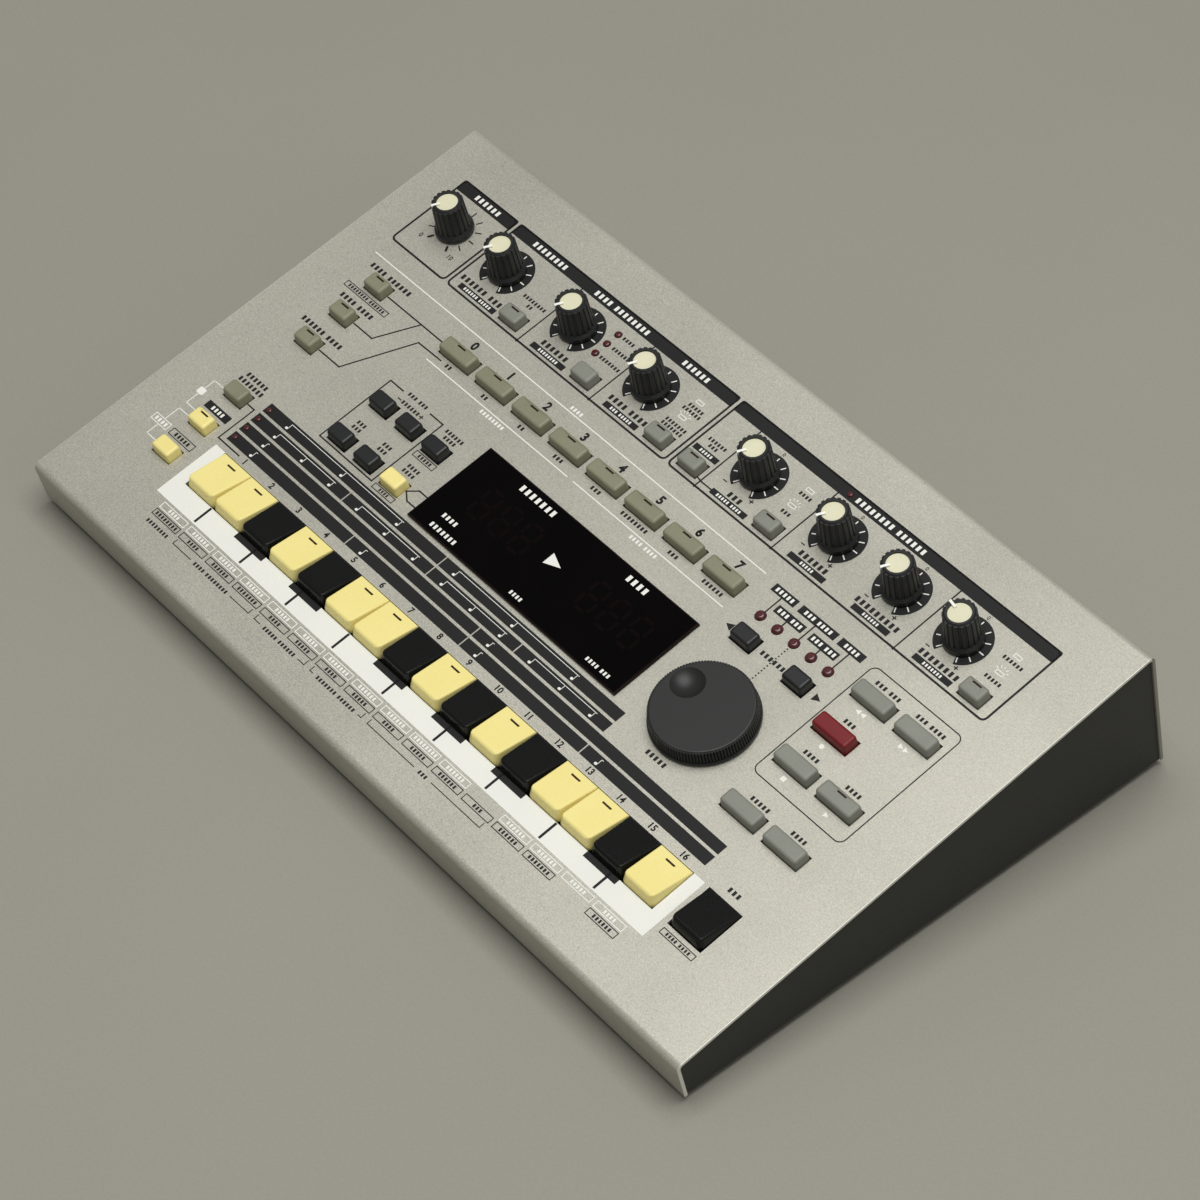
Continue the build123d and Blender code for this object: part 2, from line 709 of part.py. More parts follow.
def rear_button_housing(width, height, travel):
    """Switch housing on the main board, far enough in for the button's travel."""
    plunger_end = panel_depth + flange_top - rear_button_flange - rear_button_plunger_length
    rear = plunger_end - travel - press_clearance
    top = rear_button_axis_height + height / 2 + rear_button_housing_wall
    return Pos(0, rear, main_board_top) * Box(width + 2 * rear_button_housing_wall, rear_button_housing_length,
                                              top, align=(Align.CENTER, Align.MAX, Align.MIN))


def save(name, solids):
    """Write one node from its solids, given in the part's own axes."""
    shape = solids[0] if len(solids) == 1 else Compound(children=solids)
    export_step(shape, f"parts/{name}.step")


def save_on_panel(name, solids):
    """Write one node from solids given in panel axes."""
    save(name, [panel.location * solid for solid in solids])


def save_case():
    save_on_panel("top_cover", [top_cover()])
    save_on_panel("bottom_tray", [bottom_tray()])
    save("rubber_feet", rubber_feet())


def save_display():
    save_on_panel("display_window", [display_window()])
    save_on_panel("digit_displays", digit_displays())
    save_on_panel("indicator_lamps", [spot * lamp(radius) for spot, radius in lamp_places()])


def save_boards():
    pots = [place(side, knob_row_share) * rotary_control(pot_width) for side in knob_side_shares.values()]
    encoder = place(dial_side_share, dial_row_share) * rotary_control(encoder_width)
    save_on_panel("panel_board", [panel_board()])
    save_on_panel("tact_switches", tact_switches())
    save_on_panel("contact_mats", contact_mats())
    save_on_panel("potentiometers", pots)
    save_on_panel("dial_encoder", [encoder])
    save_on_panel("board_spacers", board_spacers())
    save_on_panel("main_board", [main_board()])


def save_pads():
    for number in range(1, pad_count + 1):
        save_on_panel(f"pad_{number:02d}", [pad_place(number) * pad(number in lit_pads)])
    save_on_panel("tap_pad", [Pos(tap_place, pad_row_share * panel_depth) * pad(False)])


def save_keys():
    for name, shares in key_shares.items():
        width = key_width(name)
        lit = lit_keys.get(name, ())
        save_on_panel(name, [place(*share) * key(width, index in lit) for index, share in enumerate(shares)])


def save_rotary():
    for name, side in knob_side_shares.items():
        pieces = knob(knob_rest_angles[name])
        save_on_panel(name, [place(side, knob_row_share) * piece for piece in pieces])
    save_on_panel("value_dial", [place(dial_side_share, dial_row_share) * piece for piece in dial()])


def save_rear():
    jack_height_on_wall = main_board_top + jack_axis_height
    midi_height_on_wall = main_board_top + midi_axis_height
    button_height_on_wall = main_board_top + rear_button_axis_height
    save_on_panel("audio_jacks", [across_rear(side, jack_height_on_wall) * audio_jack() for side in jack_side_shares])
    save_on_panel("midi_sockets", [across_rear(side, midi_height_on_wall) * solid
                                   for side in midi_side_shares for solid in midi_socket()])
    save_on_panel("dc_inlet", [across_rear(inlet_side_share, main_board_top + inlet_axis_height) * solid
                               for solid in dc_inlet()])
    save_on_panel("power_switch", [across_rear(power_side_share, button_height_on_wall)
                                   * rear_button(power_width, power_height)])
    save_on_panel("low_boost_button", [across_rear(boost_side_share, button_height_on_wall)
                                       * rear_button(boost_width, boost_height)])


os.makedirs("parts", exist_ok=True)
save_case()
save_display()
save_boards()
save_pads()
save_keys()
save_rotary()
save_rear()
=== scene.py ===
# %% [markdown]
# # A desktop groovebox
# The real object is a folded steel case with a sloping silver panel. The panel carries
# sixteen step pads, rows of small keys, eight knobs, a flat dial and a smoked display window.
# The CAD model already fixes every size and every joint, so it is loaded first as a frame.
# The cells below dress it: they model finer pieces in the same place and give each piece a finish.

# %% Load the CAD frame
import json
import math

import bmesh
import bpy
from mathutils import Euler, Matrix, Vector


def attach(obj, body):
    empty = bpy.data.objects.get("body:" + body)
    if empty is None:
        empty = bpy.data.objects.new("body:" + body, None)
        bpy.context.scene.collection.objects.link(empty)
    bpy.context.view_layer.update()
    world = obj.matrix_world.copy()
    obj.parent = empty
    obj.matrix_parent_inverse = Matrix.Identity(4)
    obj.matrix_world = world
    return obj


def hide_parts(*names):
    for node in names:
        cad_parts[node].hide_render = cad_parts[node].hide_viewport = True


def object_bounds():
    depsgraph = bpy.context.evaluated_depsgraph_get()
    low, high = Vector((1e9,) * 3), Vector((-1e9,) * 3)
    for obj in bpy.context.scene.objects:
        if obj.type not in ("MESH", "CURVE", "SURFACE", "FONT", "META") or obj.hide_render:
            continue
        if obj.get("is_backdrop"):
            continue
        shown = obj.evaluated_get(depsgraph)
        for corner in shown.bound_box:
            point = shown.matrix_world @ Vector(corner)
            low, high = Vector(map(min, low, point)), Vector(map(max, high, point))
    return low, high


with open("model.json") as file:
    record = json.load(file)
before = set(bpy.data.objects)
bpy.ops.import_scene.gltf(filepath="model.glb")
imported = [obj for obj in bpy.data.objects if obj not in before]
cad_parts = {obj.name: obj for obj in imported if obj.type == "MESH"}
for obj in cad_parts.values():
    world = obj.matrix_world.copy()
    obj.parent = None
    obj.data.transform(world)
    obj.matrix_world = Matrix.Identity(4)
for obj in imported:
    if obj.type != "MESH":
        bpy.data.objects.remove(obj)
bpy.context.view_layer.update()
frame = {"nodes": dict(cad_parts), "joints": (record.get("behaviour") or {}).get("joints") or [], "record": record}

mm = 0.001

# %% [markdown]
# Everything on top sits on one sloping face, and a tilted face is awkward to model on.
# So each piece is modelled flat first, in millimetres, in the panel's own axes: x to the right,
# y up the slope from its front edge, z straight out of the panel. One matrix then lays it down.
# The joints of the CAD model give that matrix: a pad's press axis points straight into the panel,
# and a knob's joint lies on the panel's face in the knob row.

# %% The panel's own axes
knob_row = 168.3
joint_named = {joint["name"]: joint for joint in frame["joints"]}
panel_out = -Vector(joint_named["pad_01_press"]["axis"])
panel_right = Vector((1, 0, 0))
panel_back = panel_out.cross(panel_right)
knob_spot = Vector(joint_named["volume_knob_turn"]["pos_m"])
panel_front = knob_spot - knob_spot.x * panel_right - knob_row * mm * panel_back
panel_axes = Matrix((panel_right, panel_back, panel_out)).transposed().to_4x4()
panel_axes.translation = panel_front
panel_axes = panel_axes @ Matrix.Scale(mm, 4)
print("panel slope in degrees:", round(math.degrees(math.acos(panel_out.z)), 2))

# %% [markdown]
# Operators work on whatever is selected, so a small set of helpers keeps the selection plain:
# one names the primitive that was just added, one adds a box at its size and place, and one picks
# vertices, edges or faces of the piece in edit mode by where they are. The others extrude, round, scale
# and shade what is picked. Places are compared with one of three tolerances in millimetres, since
# a computed place is never quite the written one.

# %% Helpers for picking and naming
near, close, exact = 0.1, 0.01, 0.001


def deselect():
    bpy.ops.object.select_all(action="DESELECT")


def activate(piece):
    """Make a piece the only one that operators work on."""
    deselect()
    piece.select_set(True)
    bpy.context.view_layer.objects.active = piece


def named(name):
    """Name the active piece, which is the primitive that was just added."""
    piece = bpy.context.object
    piece.name = piece.data.name = name
    return piece


def add_box(name, size, centre):
    """A cube at its size and place, with both kept in its mesh."""
    deselect()
    bpy.ops.mesh.primitive_cube_add(size=1, location=centre, scale=size)
    bpy.ops.object.transform_apply(location=True, rotation=True, scale=True)
    return named(name)


def edit():
    bpy.ops.object.mode_set(mode="EDIT")


def leave_edit():
    bpy.ops.object.mode_set(mode="OBJECT")


def pick(kind, test):
    """In edit mode, select only the vertices, edges or faces whose middle passes a test."""
    bpy.ops.mesh.select_mode(type=kind)
    bpy.ops.mesh.select_all(action="DESELECT")
    mesh = bmesh.from_edit_mesh(bpy.context.object.data)
    if kind == "VERT":
        chosen = [vert for vert in mesh.verts if test(vert.co)]
    elif kind == "EDGE":
        chosen = [edge for edge in mesh.edges if test((edge.verts[0].co + edge.verts[1].co) / 2)]
    else:
        chosen = [face for face in mesh.faces if test(face.calc_center_median())]
    for item in chosen:
        item.select_set(True)
    mesh.select_flush_mode()
    bmesh.update_edit_mesh(bpy.context.object.data)


def round_edges(radius, segments, test):
    """In edit mode, bevel the edges whose middle passes a test."""
    pick("EDGE", test)
    bpy.ops.mesh.bevel(offset=radius, segments=segments, affect="EDGES")


def face_outwards():
    """In edit mode, turn every face of the piece outwards."""
    bpy.ops.mesh.select_all(action="SELECT")
    bpy.ops.mesh.normals_make_consistent(inside=False)


def extrude_up(rise):
    bpy.ops.mesh.extrude_region_move(TRANSFORM_OT_translate={"value": (0, 0, rise)})


def widen(across, along=None):
    """Scale what is selected across and along the panel, about the origin."""
    along = across if along is None else along
    bpy.ops.transform.resize(value=(across, along, 1), center_override=(0, 0, 0))


def apply_modifier(piece, kind, **values):
    modifier = piece.modifiers.new(kind.lower(), kind)
    for key, value in values.items():
        setattr(modifier, key, value)
    bpy.context.view_layer.objects.active = piece
    bpy.ops.object.modifier_apply(modifier=modifier.name)


def smooth(piece, degrees=35, flat=None):
    """Smooth shading with sharp edges kept, and with flat faces left flat beside their bevels."""
    activate(piece)
    bpy.ops.object.shade_smooth_by_angle(angle=math.radians(degrees))
    if flat:
        edit()
        pick("FACE", flat)
        bpy.ops.mesh.faces_shade_flat()
        leave_edit()
    apply_modifier(piece, "WEIGHTED_NORMAL", keep_sharp=True)


print("helpers ready")

# %% [markdown]
# A finish is more than a colour. Paint has fleck and a slight orange peel, moulded plastic has
# a fine grain, and both get cloudy and rubbed with use. On sharp edges a lighter tone stands partly for that wear
# and partly for a painted highlight. Two shader groups make these effects once, from noise in Object coordinates,
# and every material below uses them with its own values. The groups only put out masks and values. The shader
# itself stays in each material.

# %% Shader groups for grain and for edge wear with painted highlights
grain_detail, patch_detail = 3.0, 4.0
noise_low, noise_high = 0.32, 0.68
edge_begins, edge_full = 0.97, 0.8


def add_node(tree, kind, sockets, **settings):
    """Add a shader node with its settings. A socket takes another node's output, or a plain value."""
    node = tree.nodes.new(f"ShaderNode{kind}")
    for key, value in settings.items():
        setattr(node, key, value)
    for key, value in sockets.items():
        if isinstance(value, bpy.types.NodeSocket):
            tree.links.new(value, node.inputs[key])
        else:
            node.inputs[key].default_value = value
    return node


def new_group(name, inputs, outputs):
    """Group with sockets for plain values, and the two nodes that stand for them inside it."""
    group = bpy.data.node_groups.new(name, "ShaderNodeTree")
    for title, default in inputs.items():
        socket = group.interface.new_socket(title, in_out="INPUT", socket_type="NodeSocketFloat")
        socket.default_value = default
    for title in outputs:
        group.interface.new_socket(title, in_out="OUTPUT", socket_type="NodeSocketFloat")
    return group, group.nodes.new("NodeGroupInput"), group.nodes.new("NodeGroupOutput")


def object_coords(tree):
    return add_node(tree, "TexCoord", {}).outputs["Object"]


def noise(tree, scale, detail):
    sockets = {"Vector": object_coords(tree), "Scale": scale, "Detail": detail}
    return add_node(tree, "TexNoise", sockets).outputs["Fac"]


def surface_grain_group():
    """Cloud: slow patches. Grain: fine pores. Both run from 0 to 1."""
    group, given, out = new_group(
        "surface_grain", {"Cloud Scale": 30.0, "Grain Scale": 4000.0}, ("Cloud", "Grain"))
    for title in ("Cloud", "Grain"):
        waves = noise(group, given.outputs[f"{title} Scale"], grain_detail)
        spread = add_node(group, "MapRange", {"Value": waves, "From Min": noise_low, "From Max": noise_high})
        group.links.new(spread.outputs["Result"], out.inputs[title])
    return group


def rubbed_edge_group():
    """Wear and painted highlight: 1 where a corner is sharp and a noise lets it show, 0 on flat faces."""
    group, given, out = new_group("edge_wear_and_highlight", {"Radius": 0.0006, "Patch Scale": 250.0}, ("Wear And Highlight",))
    soft = add_node(group, "Bevel", {"Radius": given.outputs["Radius"]}, samples=4)
    plain = add_node(group, "NewGeometry", {})
    normals = {0: soft.outputs["Normal"], 1: plain.outputs["Normal"]}
    dot = add_node(group, "VectorMath", normals, operation="DOT_PRODUCT")
    limits = {"From Min": edge_begins, "From Max": edge_full}
    edge = add_node(group, "MapRange", {"Value": dot.outputs["Value"], **limits})
    patches = noise(group, given.outputs["Patch Scale"], patch_detail)
    wear_and_highlight = add_node(group, "Math", {0: edge.outputs["Result"], 1: patches}, operation="MULTIPLY")
    group.links.new(wear_and_highlight.outputs["Value"], out.inputs["Wear And Highlight"])
    return group


surface_grain = surface_grain_group()
edge_wear_and_highlight = rubbed_edge_group()
print("shader groups:", surface_grain.name, edge_wear_and_highlight.name)

# %% [markdown]
# Every finish follows one recipe: the cloud mask mixes two close tones into the base colour,
# the grain moves the roughness a little and raises a fine bump, and on sharp edges the edge mask mixes
# a third tone, which is partly wear where a piece is handled and partly a painted highlight.
# Colours are written as screen values, 0 to 255.

# %% The finish recipe
grain_share, cloud_share = 0.7, 0.3
grain_depth = 0.05 * mm


def screen(red, green, blue):
    """Screen colour to the linear colour that shaders take."""
    def linear(value):
        value /= 255
        return value / 12.92 if value <= 0.04045 else ((value + 0.055) / 1.055) ** 2.4
    return (linear(red), linear(green), linear(blue), 1.0)


def mix_tones(tree, mask, first, second):
    """Colour that goes from the first tone to the second as a mask rises."""
    sockets = {"Factor": mask, "A": first, "B": second}
    return add_node(tree, "Mix", sockets, data_type="RGBA").outputs["Result"]


def finish(name, colour, shade, roughness, spread=0.08, cloud=30.0, grain=4000.0, bump=0.1,
           metallic=0.0, coat=0.0, gleam=0.5, wear_and_highlight_tone=None):
    """Material from a colour, its darker shade, a roughness with some spread, and a bump of the grain."""
    material = bpy.data.materials.new(name)
    material.use_nodes = True
    tree = material.node_tree
    shader = tree.nodes["Principled BSDF"]
    shader.inputs["Metallic"].default_value = metallic
    shader.inputs["Coat Weight"].default_value = coat
    shader.inputs["Specular IOR Level"].default_value = gleam

    masks = add_node(tree, "Group", {}, node_tree=surface_grain)
    masks.inputs["Cloud Scale"].default_value = cloud
    masks.inputs["Grain Scale"].default_value = grain
    pores = masks.outputs["Grain"]
    clouds = add_node(tree, "Math", {0: masks.outputs["Cloud"], 1: cloud_share}, operation="MULTIPLY")
    both = add_node(tree, "Math", {0: pores, 1: grain_share, 2: clouds.outputs["Value"]},
                    operation="MULTIPLY_ADD")
    base = mix_tones(tree, both.outputs["Value"], screen(*shade), screen(*colour))
    if wear_and_highlight_tone:
        wear_and_highlight = add_node(tree, "Group", {}, node_tree=edge_wear_and_highlight)
        base = mix_tones(tree, wear_and_highlight.outputs["Wear And Highlight"], base, screen(*wear_and_highlight_tone))
    tree.links.new(base, shader.inputs["Base Color"])

    limits = {"To Min": roughness - spread, "To Max": roughness + spread}
    rough = add_node(tree, "MapRange", {"Value": pores, **limits})
    tree.links.new(rough.outputs["Result"], shader.inputs["Roughness"])
    relief = add_node(tree, "Bump", {"Height": pores, "Strength": bump, "Distance": grain_depth})
    tree.links.new(relief.outputs["Normal"], shader.inputs["Normal"])
    return material


def bare_edge(material, across, depth, painted_highlight_tone, painted_shade_tone):
    """Paint a highlight on a sheet's cut edge past a place across the case, and a darker painted shade on it from
    a depth on.
    """
    tree = material.node_tree
    base = tree.nodes["Principled BSDF"].inputs["Base Color"]
    coords = object_coords(tree)

    def past(direction, distance):
        reach = add_node(tree, "VectorMath", {0: coords, 1: direction}, operation="DOT_PRODUCT")
        mask = add_node(tree, "Math", {0: reach.outputs["Value"], 1: distance}, operation="GREATER_THAN")
        return mask.outputs["Value"]

    rear = past(panel_back, depth * mm + panel_back.dot(panel_front))
    painted_edge_tones = mix_tones(tree, rear, screen(*painted_highlight_tone), screen(*painted_shade_tone))
    edge = mix_tones(tree, past(panel_right, across * mm), base.links[0].from_socket, painted_edge_tones)
    tree.links.new(edge, base)


print("finish recipe ready")

# %% [markdown]
# Silver paint with metal flake covers the folded case. Its right cut edge gets a painted highlight, and from the
# rear wall on a darker painted shade. The pads, keys and knobs are moulded plastics, the printing is ink, and
# inside are steel, brass, rubber and board. Each finish gives its tone, its shade and its roughness, and then only
# what differs from the recipe.

# %% The finishes
# The silver paint's light edge tone is partly wear and partly a painted highlight on the sheet's edges.
silver_paint = finish("silver_paint", (198, 195, 181), (157, 155, 143), 0.4, cloud=14, grain=2200, bump=0.25,
                      metallic=0.34, wear_and_highlight_tone=(222, 220, 210))
# On the right cut edge the bright tone is a painted highlight, and from the rear wall on the darker tone is
# painted shade.
bare_edge(silver_paint, across=169.8, depth=203.6, painted_highlight_tone=(234, 232, 222), painted_shade_tone=(150, 147, 137))
dark_paint = finish("dark_paint", (33, 34, 30), (23, 24, 21), 0.5, cloud=20, grain=1800, bump=0.3,
                    wear_and_highlight_tone=(86, 86, 80))
foot_rubber = finish("foot_rubber", (34, 34, 33), (24, 24, 24), 0.8, grain=2500, bump=0.3)
window_gloss = finish("window_gloss", (9, 7, 7), (5, 4, 4), 0.12, spread=0.03, cloud=60, bump=0.01,
                      gleam=0.05, wear_and_highlight_tone=(96, 70, 58))
black_plastic = finish("black_plastic", (26, 27, 27), (17, 18, 18), 0.42, grain=3500, bump=0.2, gleam=0.4,
                       wear_and_highlight_tone=(58, 58, 56))
# The black gloss plastic's light edge tone is a painted highlight on the rounded edges of the black pads.
gloss_plastic = finish("gloss_plastic", (13, 14, 12), (9, 10, 8), 0.25, grain=3500, bump=0.05, gleam=0.25,
                       wear_and_highlight_tone=(104, 104, 100))
dial_plastic = finish("dial_plastic", (31, 32, 30), (24, 25, 23), 0.45, grain=3500, bump=0.15, gleam=0.4,
                      wear_and_highlight_tone=(70, 70, 67))
# The dial's toothed side gets this darker copy of the dial finish as painted shade.
dial_grip = finish("dial_grip", (18, 19, 17), (12, 13, 12), 0.5, grain=3500, bump=0.2, gleam=0.3,
                   wear_and_highlight_tone=(44, 44, 42))
yellow_plastic = finish("yellow_plastic", (243, 229, 150), (232, 216, 132), 0.45, cloud=60, bump=0.1)
olive_plastic = finish("olive_plastic", (135, 134, 110), (117, 117, 93), 0.5, cloud=90, bump=0.15)
grey_plastic = finish("grey_plastic", (134, 135, 124), (118, 119, 108), 0.5, cloud=90, bump=0.15)
red_plastic = finish("red_plastic", (122, 26, 30), (102, 18, 22), 0.45, cloud=90, bump=0.15, gleam=0.3)
white_plastic = finish("white_plastic", (246, 245, 236), (236, 234, 222), 0.45, cloud=120, bump=0.1)
cream_plastic = finish("cream_plastic", (222, 219, 189), (210, 206, 174), 0.5, cloud=120, bump=0.1)
lens_dark = finish("lens_dark", (58, 26, 22), (30, 16, 14), 0.3, cloud=400, bump=0.05)
lamp_red = finish("lamp_red", (88, 24, 28), (54, 11, 14), 0.25, cloud=300, bump=0.02, coat=0.4)
black_ink = finish("black_ink", (22, 22, 21), (15, 15, 14), 0.6, grain=5000, bump=0.1, gleam=0.3)
white_ink = finish("white_ink", (234, 234, 226), (224, 224, 215), 0.6, grain=5000, bump=0.1)
steel = finish("steel", (176, 176, 172), (140, 140, 138), 0.3, grain=5000, bump=0.1, metallic=0.9)
blackened_steel = finish("blackened_steel", (56, 56, 54), (40, 40, 39), 0.35, grain=5000, bump=0.1,
                         metallic=0.6)
brass = finish("brass", (190, 160, 96), (160, 130, 70), 0.35, grain=4000, bump=0.1, metallic=0.9)
board_green = finish("board_green", (40, 88, 58), (28, 70, 44), 0.45, cloud=50, bump=0.1)
mat_rubber = finish("mat_rubber", (138, 138, 134), (120, 120, 116), 0.7, bump=0.2)
segment_red = finish("segment_red", (15, 8, 7), (11, 6, 6), 0.2, bump=0.02, gleam=0.06)
digit_red = finish("digit_red", (34, 12, 12), (24, 8, 8), 0.2, bump=0.02)
print("finishes:", len(bpy.data.materials))

# %% [markdown]
# Most CAD nodes already have the right shape, so they stay and only get a finish. A node's object
# has material slots, and the new material is put into them. The record's slot says which one.

# %% Finishes on the CAD nodes
finish_of_slot = {
    "silver_paint": silver_paint, "dark_paint": dark_paint, "foot_rubber": foot_rubber,
    "smoked_window": window_gloss, "display_red": digit_red, "lamp_red": lamp_red,
    "board_laminate": board_green, "mat_rubber": mat_rubber, "control_steel": steel, "spacer_brass": brass,
    "socket_plastic": black_plastic, "black_plastic": black_plastic, "yellow_plastic": yellow_plastic,
    "olive_plastic": olive_plastic, "grey_plastic": grey_plastic, "red_plastic": red_plastic,
    "knob_plastic": black_plastic, "dial_plastic": dial_plastic,
}
slot_of_node = {part["node"]: part["material_slot"] for part in frame["record"]["subparts"]}
for node, cad_piece in frame["nodes"].items():
    for material_slot in cad_piece.material_slots:
        material_slot.material = finish_of_slot[slot_of_node[node]]
print("CAD nodes with a finish:", len(frame["nodes"]))

# %% [markdown]
# A finished piece is laid on the panel, given its materials and tied to the body that it moves with,
# and the CAD nodes that it stands for are hidden. Copies of a piece get a mesh of their own.

# %% Laying pieces on the panel
def lay(piece, body, materials, stands_for=()):
    """Lay a flat-modelled piece on the panel and tie it to a body of the CAD model."""
    piece.data.transform(panel_axes)
    for index, material in enumerate(materials):
        if index == len(piece.data.materials):
            piece.data.materials.append(material)
        piece.data.materials[index] = material
    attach(piece, body)
    if stands_for:
        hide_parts(*stands_for)


def copy_of(piece, name, x=0.0, y=0.0, turn=0.0, size=(1, 1, 1)):
    """Copy with its own mesh, scaled, turned about the upright and moved across the panel."""
    twin = piece.copy()
    twin.data = piece.data.copy()
    twin.name = twin.data.name = name
    bpy.context.scene.collection.objects.link(twin)
    twin.data.transform(Matrix.LocRotScale((x, y, 0), Euler((0, 0, math.radians(turn))), size))
    return twin


def join(pieces, name):
    deselect()
    for piece in pieces:
        piece.select_set(True)
    bpy.context.view_layer.objects.active = pieces[0]
    if len(pieces) > 1:
        bpy.ops.object.join()
    return named(name)


def discard(*patterns):
    """Remove pieces that were only there to be copied or cut with."""
    for pattern in patterns:
        bpy.data.meshes.remove(pattern.data)


print("ready to lay pieces")

# %% [markdown]
# The sixteen step pads are wedges, high in front and low behind, with raked sides and soft edges.
# A cube is the natural start: its top is extruded, and the front corners are pulled up and back.
# Each edge gets a bevel weight, so one Bevel modifier can round the front more than the sides.
# Lit pads have a small slot near the rear with a dark lens at its bottom: the top face is inset,
# the inner face is squeezed to the slot and pushed down.

# %% Step pads
pad_count, pad_pitch, pad_row = 16, 15.3, 40.86
pad_width, pad_depth, pad_skirt = 15.0, 17.4, 1.4
pad_rear_height, pad_front_height = 0.6, 4.2
pad_front_rake, pad_side_rake = 1.2, 0.8
pad_corner, pad_front_edge, pad_side_edge = 2.0, 1.3, 0.6
pad_slot, pad_slot_setback = (4.5, 0.8), 2.8
slot_inset, slot_recess = 0.3, 0.4


def slot_in_top(size, spot, is_top):
    """Squeeze an inset of the top face to a slot, push it down and give its floor the second material."""
    pick("FACE", is_top)
    bpy.ops.mesh.inset(thickness=slot_inset)
    mesh = bmesh.from_edit_mesh(bpy.context.object.data)
    rim = [vert.co.copy() for vert in mesh.verts if vert.select]
    low = Vector([min(place[axis] for place in rim) for axis in range(3)])
    high = Vector([max(place[axis] for place in rim) for axis in range(3)])
    middle, wide = (low + high) / 2, high - low
    fall = wide.z / wide.y
    share = size[1] / wide.y
    bpy.ops.transform.resize(value=(size[0] / wide.x, share, share), center_override=middle)
    shift = spot - middle.y
    bpy.ops.transform.translate(value=(0, shift, -shift * fall))
    extrude_up(-slot_recess)
    bpy.context.object.active_material_index = 1
    bpy.ops.object.material_slot_assign()


def soften(radius, test):
    """Weigh edges so that the pad's Bevel modifier rounds them to a radius."""
    pick("EDGE", test)
    bpy.ops.transform.edge_bevelweight(value=radius / pad_corner)


def make_pad(name, lit):
    pad = add_box(name, (pad_width, pad_depth, pad_skirt), (0, 0, -pad_skirt / 2))
    pad.data.materials.append(yellow_plastic)
    pad.data.materials.append(lens_dark)
    front, rear = -pad_depth / 2, pad_depth / 2
    edit()
    pick("FACE", lambda at: at.z > -close)
    extrude_up(pad_rear_height)
    pick("VERT", lambda at: at.z > near)
    rear_in = 1 - 2 * pad_side_rake * pad_rear_height / pad_front_height / pad_width
    widen(rear_in, 1)
    pick("VERT", lambda at: at.z > near and at.y < 0)
    bpy.ops.transform.translate(value=(0, pad_front_rake, pad_front_height - pad_rear_height))
    widen((1 - 2 * pad_side_rake / pad_width) / rear_in, 1)
    slope_middle = (pad_rear_height + pad_front_height) / 2
    soften(pad_corner, lambda at: (at.y < front + pad_front_rake and abs(at.x) > pad_width / 4
                                   and at.z > near - pad_skirt))
    soften(pad_front_edge, lambda at: at.z > pad_front_height - near)
    soften(pad_side_edge, lambda at: at.z > slope_middle - near and abs(at.y) < pad_front_rake)
    soften(pad_side_edge, lambda at: at.z > pad_rear_height - near and at.y > rear - near)
    leave_edit()
    apply_modifier(pad, "BEVEL", width=pad_corner, segments=5, limit_method="WEIGHT")
    if lit:
        edit()
        slot_in_top(pad_slot, rear - pad_slot_setback, lambda at: (
            at.z > pad_rear_height and abs(at.x) < near and abs(at.y) < pad_depth / 4))
        leave_edit()
    smooth(pad)
    return pad


def pad_x(number):
    """Middle of a pad in the row, by its number from 1."""
    return (number - (pad_count + 1) / 2) * pad_pitch


pad_numbers = range(1, pad_count + 1)
black_pads = (3, 5, 8, 10, 12, 15)
pad_places = {f"pad_{number:02d}": (pad_x(number), number in black_pads) for number in pad_numbers}
tap_place = 137.45
pad_places["tap_pad"] = (tap_place, True)
lit_pad, plain_pad = make_pad("lit_pad", True), make_pad("plain_pad", False)
for node, (x, dark) in pad_places.items():
    cap = copy_of(plain_pad if dark else lit_pad, f"{node}_cap", x, pad_row)
    slot, material = ("black_plastic", gloss_plastic) if dark else ("yellow_plastic", yellow_plastic)
    lay(cap, node, (material, lens_dark), (node,))
discard(lit_pad, plain_pad)
print("pads laid:", len(pad_places))

# %% [markdown]
# The keys are small moulded caps with a slight draft and rounded edges, in two widths. Some have
# a slot for a lamp. One cap of each kind is modelled from a cube: the top is drawn in, the upright
# corners and then the top rim are bevelled. Keys that share a CAD node are joined into one piece.

# %% Keys
key_depth, key_height, key_skirt, key_draft = 6.5, 4.0, 1.4, 4.0
key_corner, key_edge = 1.0, 0.95
key_slot, key_slot_setback = (4.1, 1.0), 1.5
short_key, long_key = 9.6, 16.0


def make_key(name, width, lit):
    key = add_box(name, (width, key_depth, key_height + key_skirt), (0, 0, (key_height - key_skirt) / 2))
    key.data.materials.append(grey_plastic)
    key.data.materials.append(lens_dark)
    drawn = 2 * key_height * math.tan(math.radians(key_draft))
    edit()
    pick("FACE", lambda at: at.z > key_height - near)
    widen(1 - drawn / width, 1 - drawn / key_depth)
    round_edges(key_corner, 3, lambda at: 0 < at.z < key_height - near)
    round_edges(key_edge, 4, lambda at: at.z > key_height - near)
    if lit:
        slot_in_top(key_slot, key_depth / 2 - key_slot_setback, lambda at: at.z > key_height - close)
    leave_edit()
    smooth(key, flat=lambda at: at.z > key_height - close)
    return key


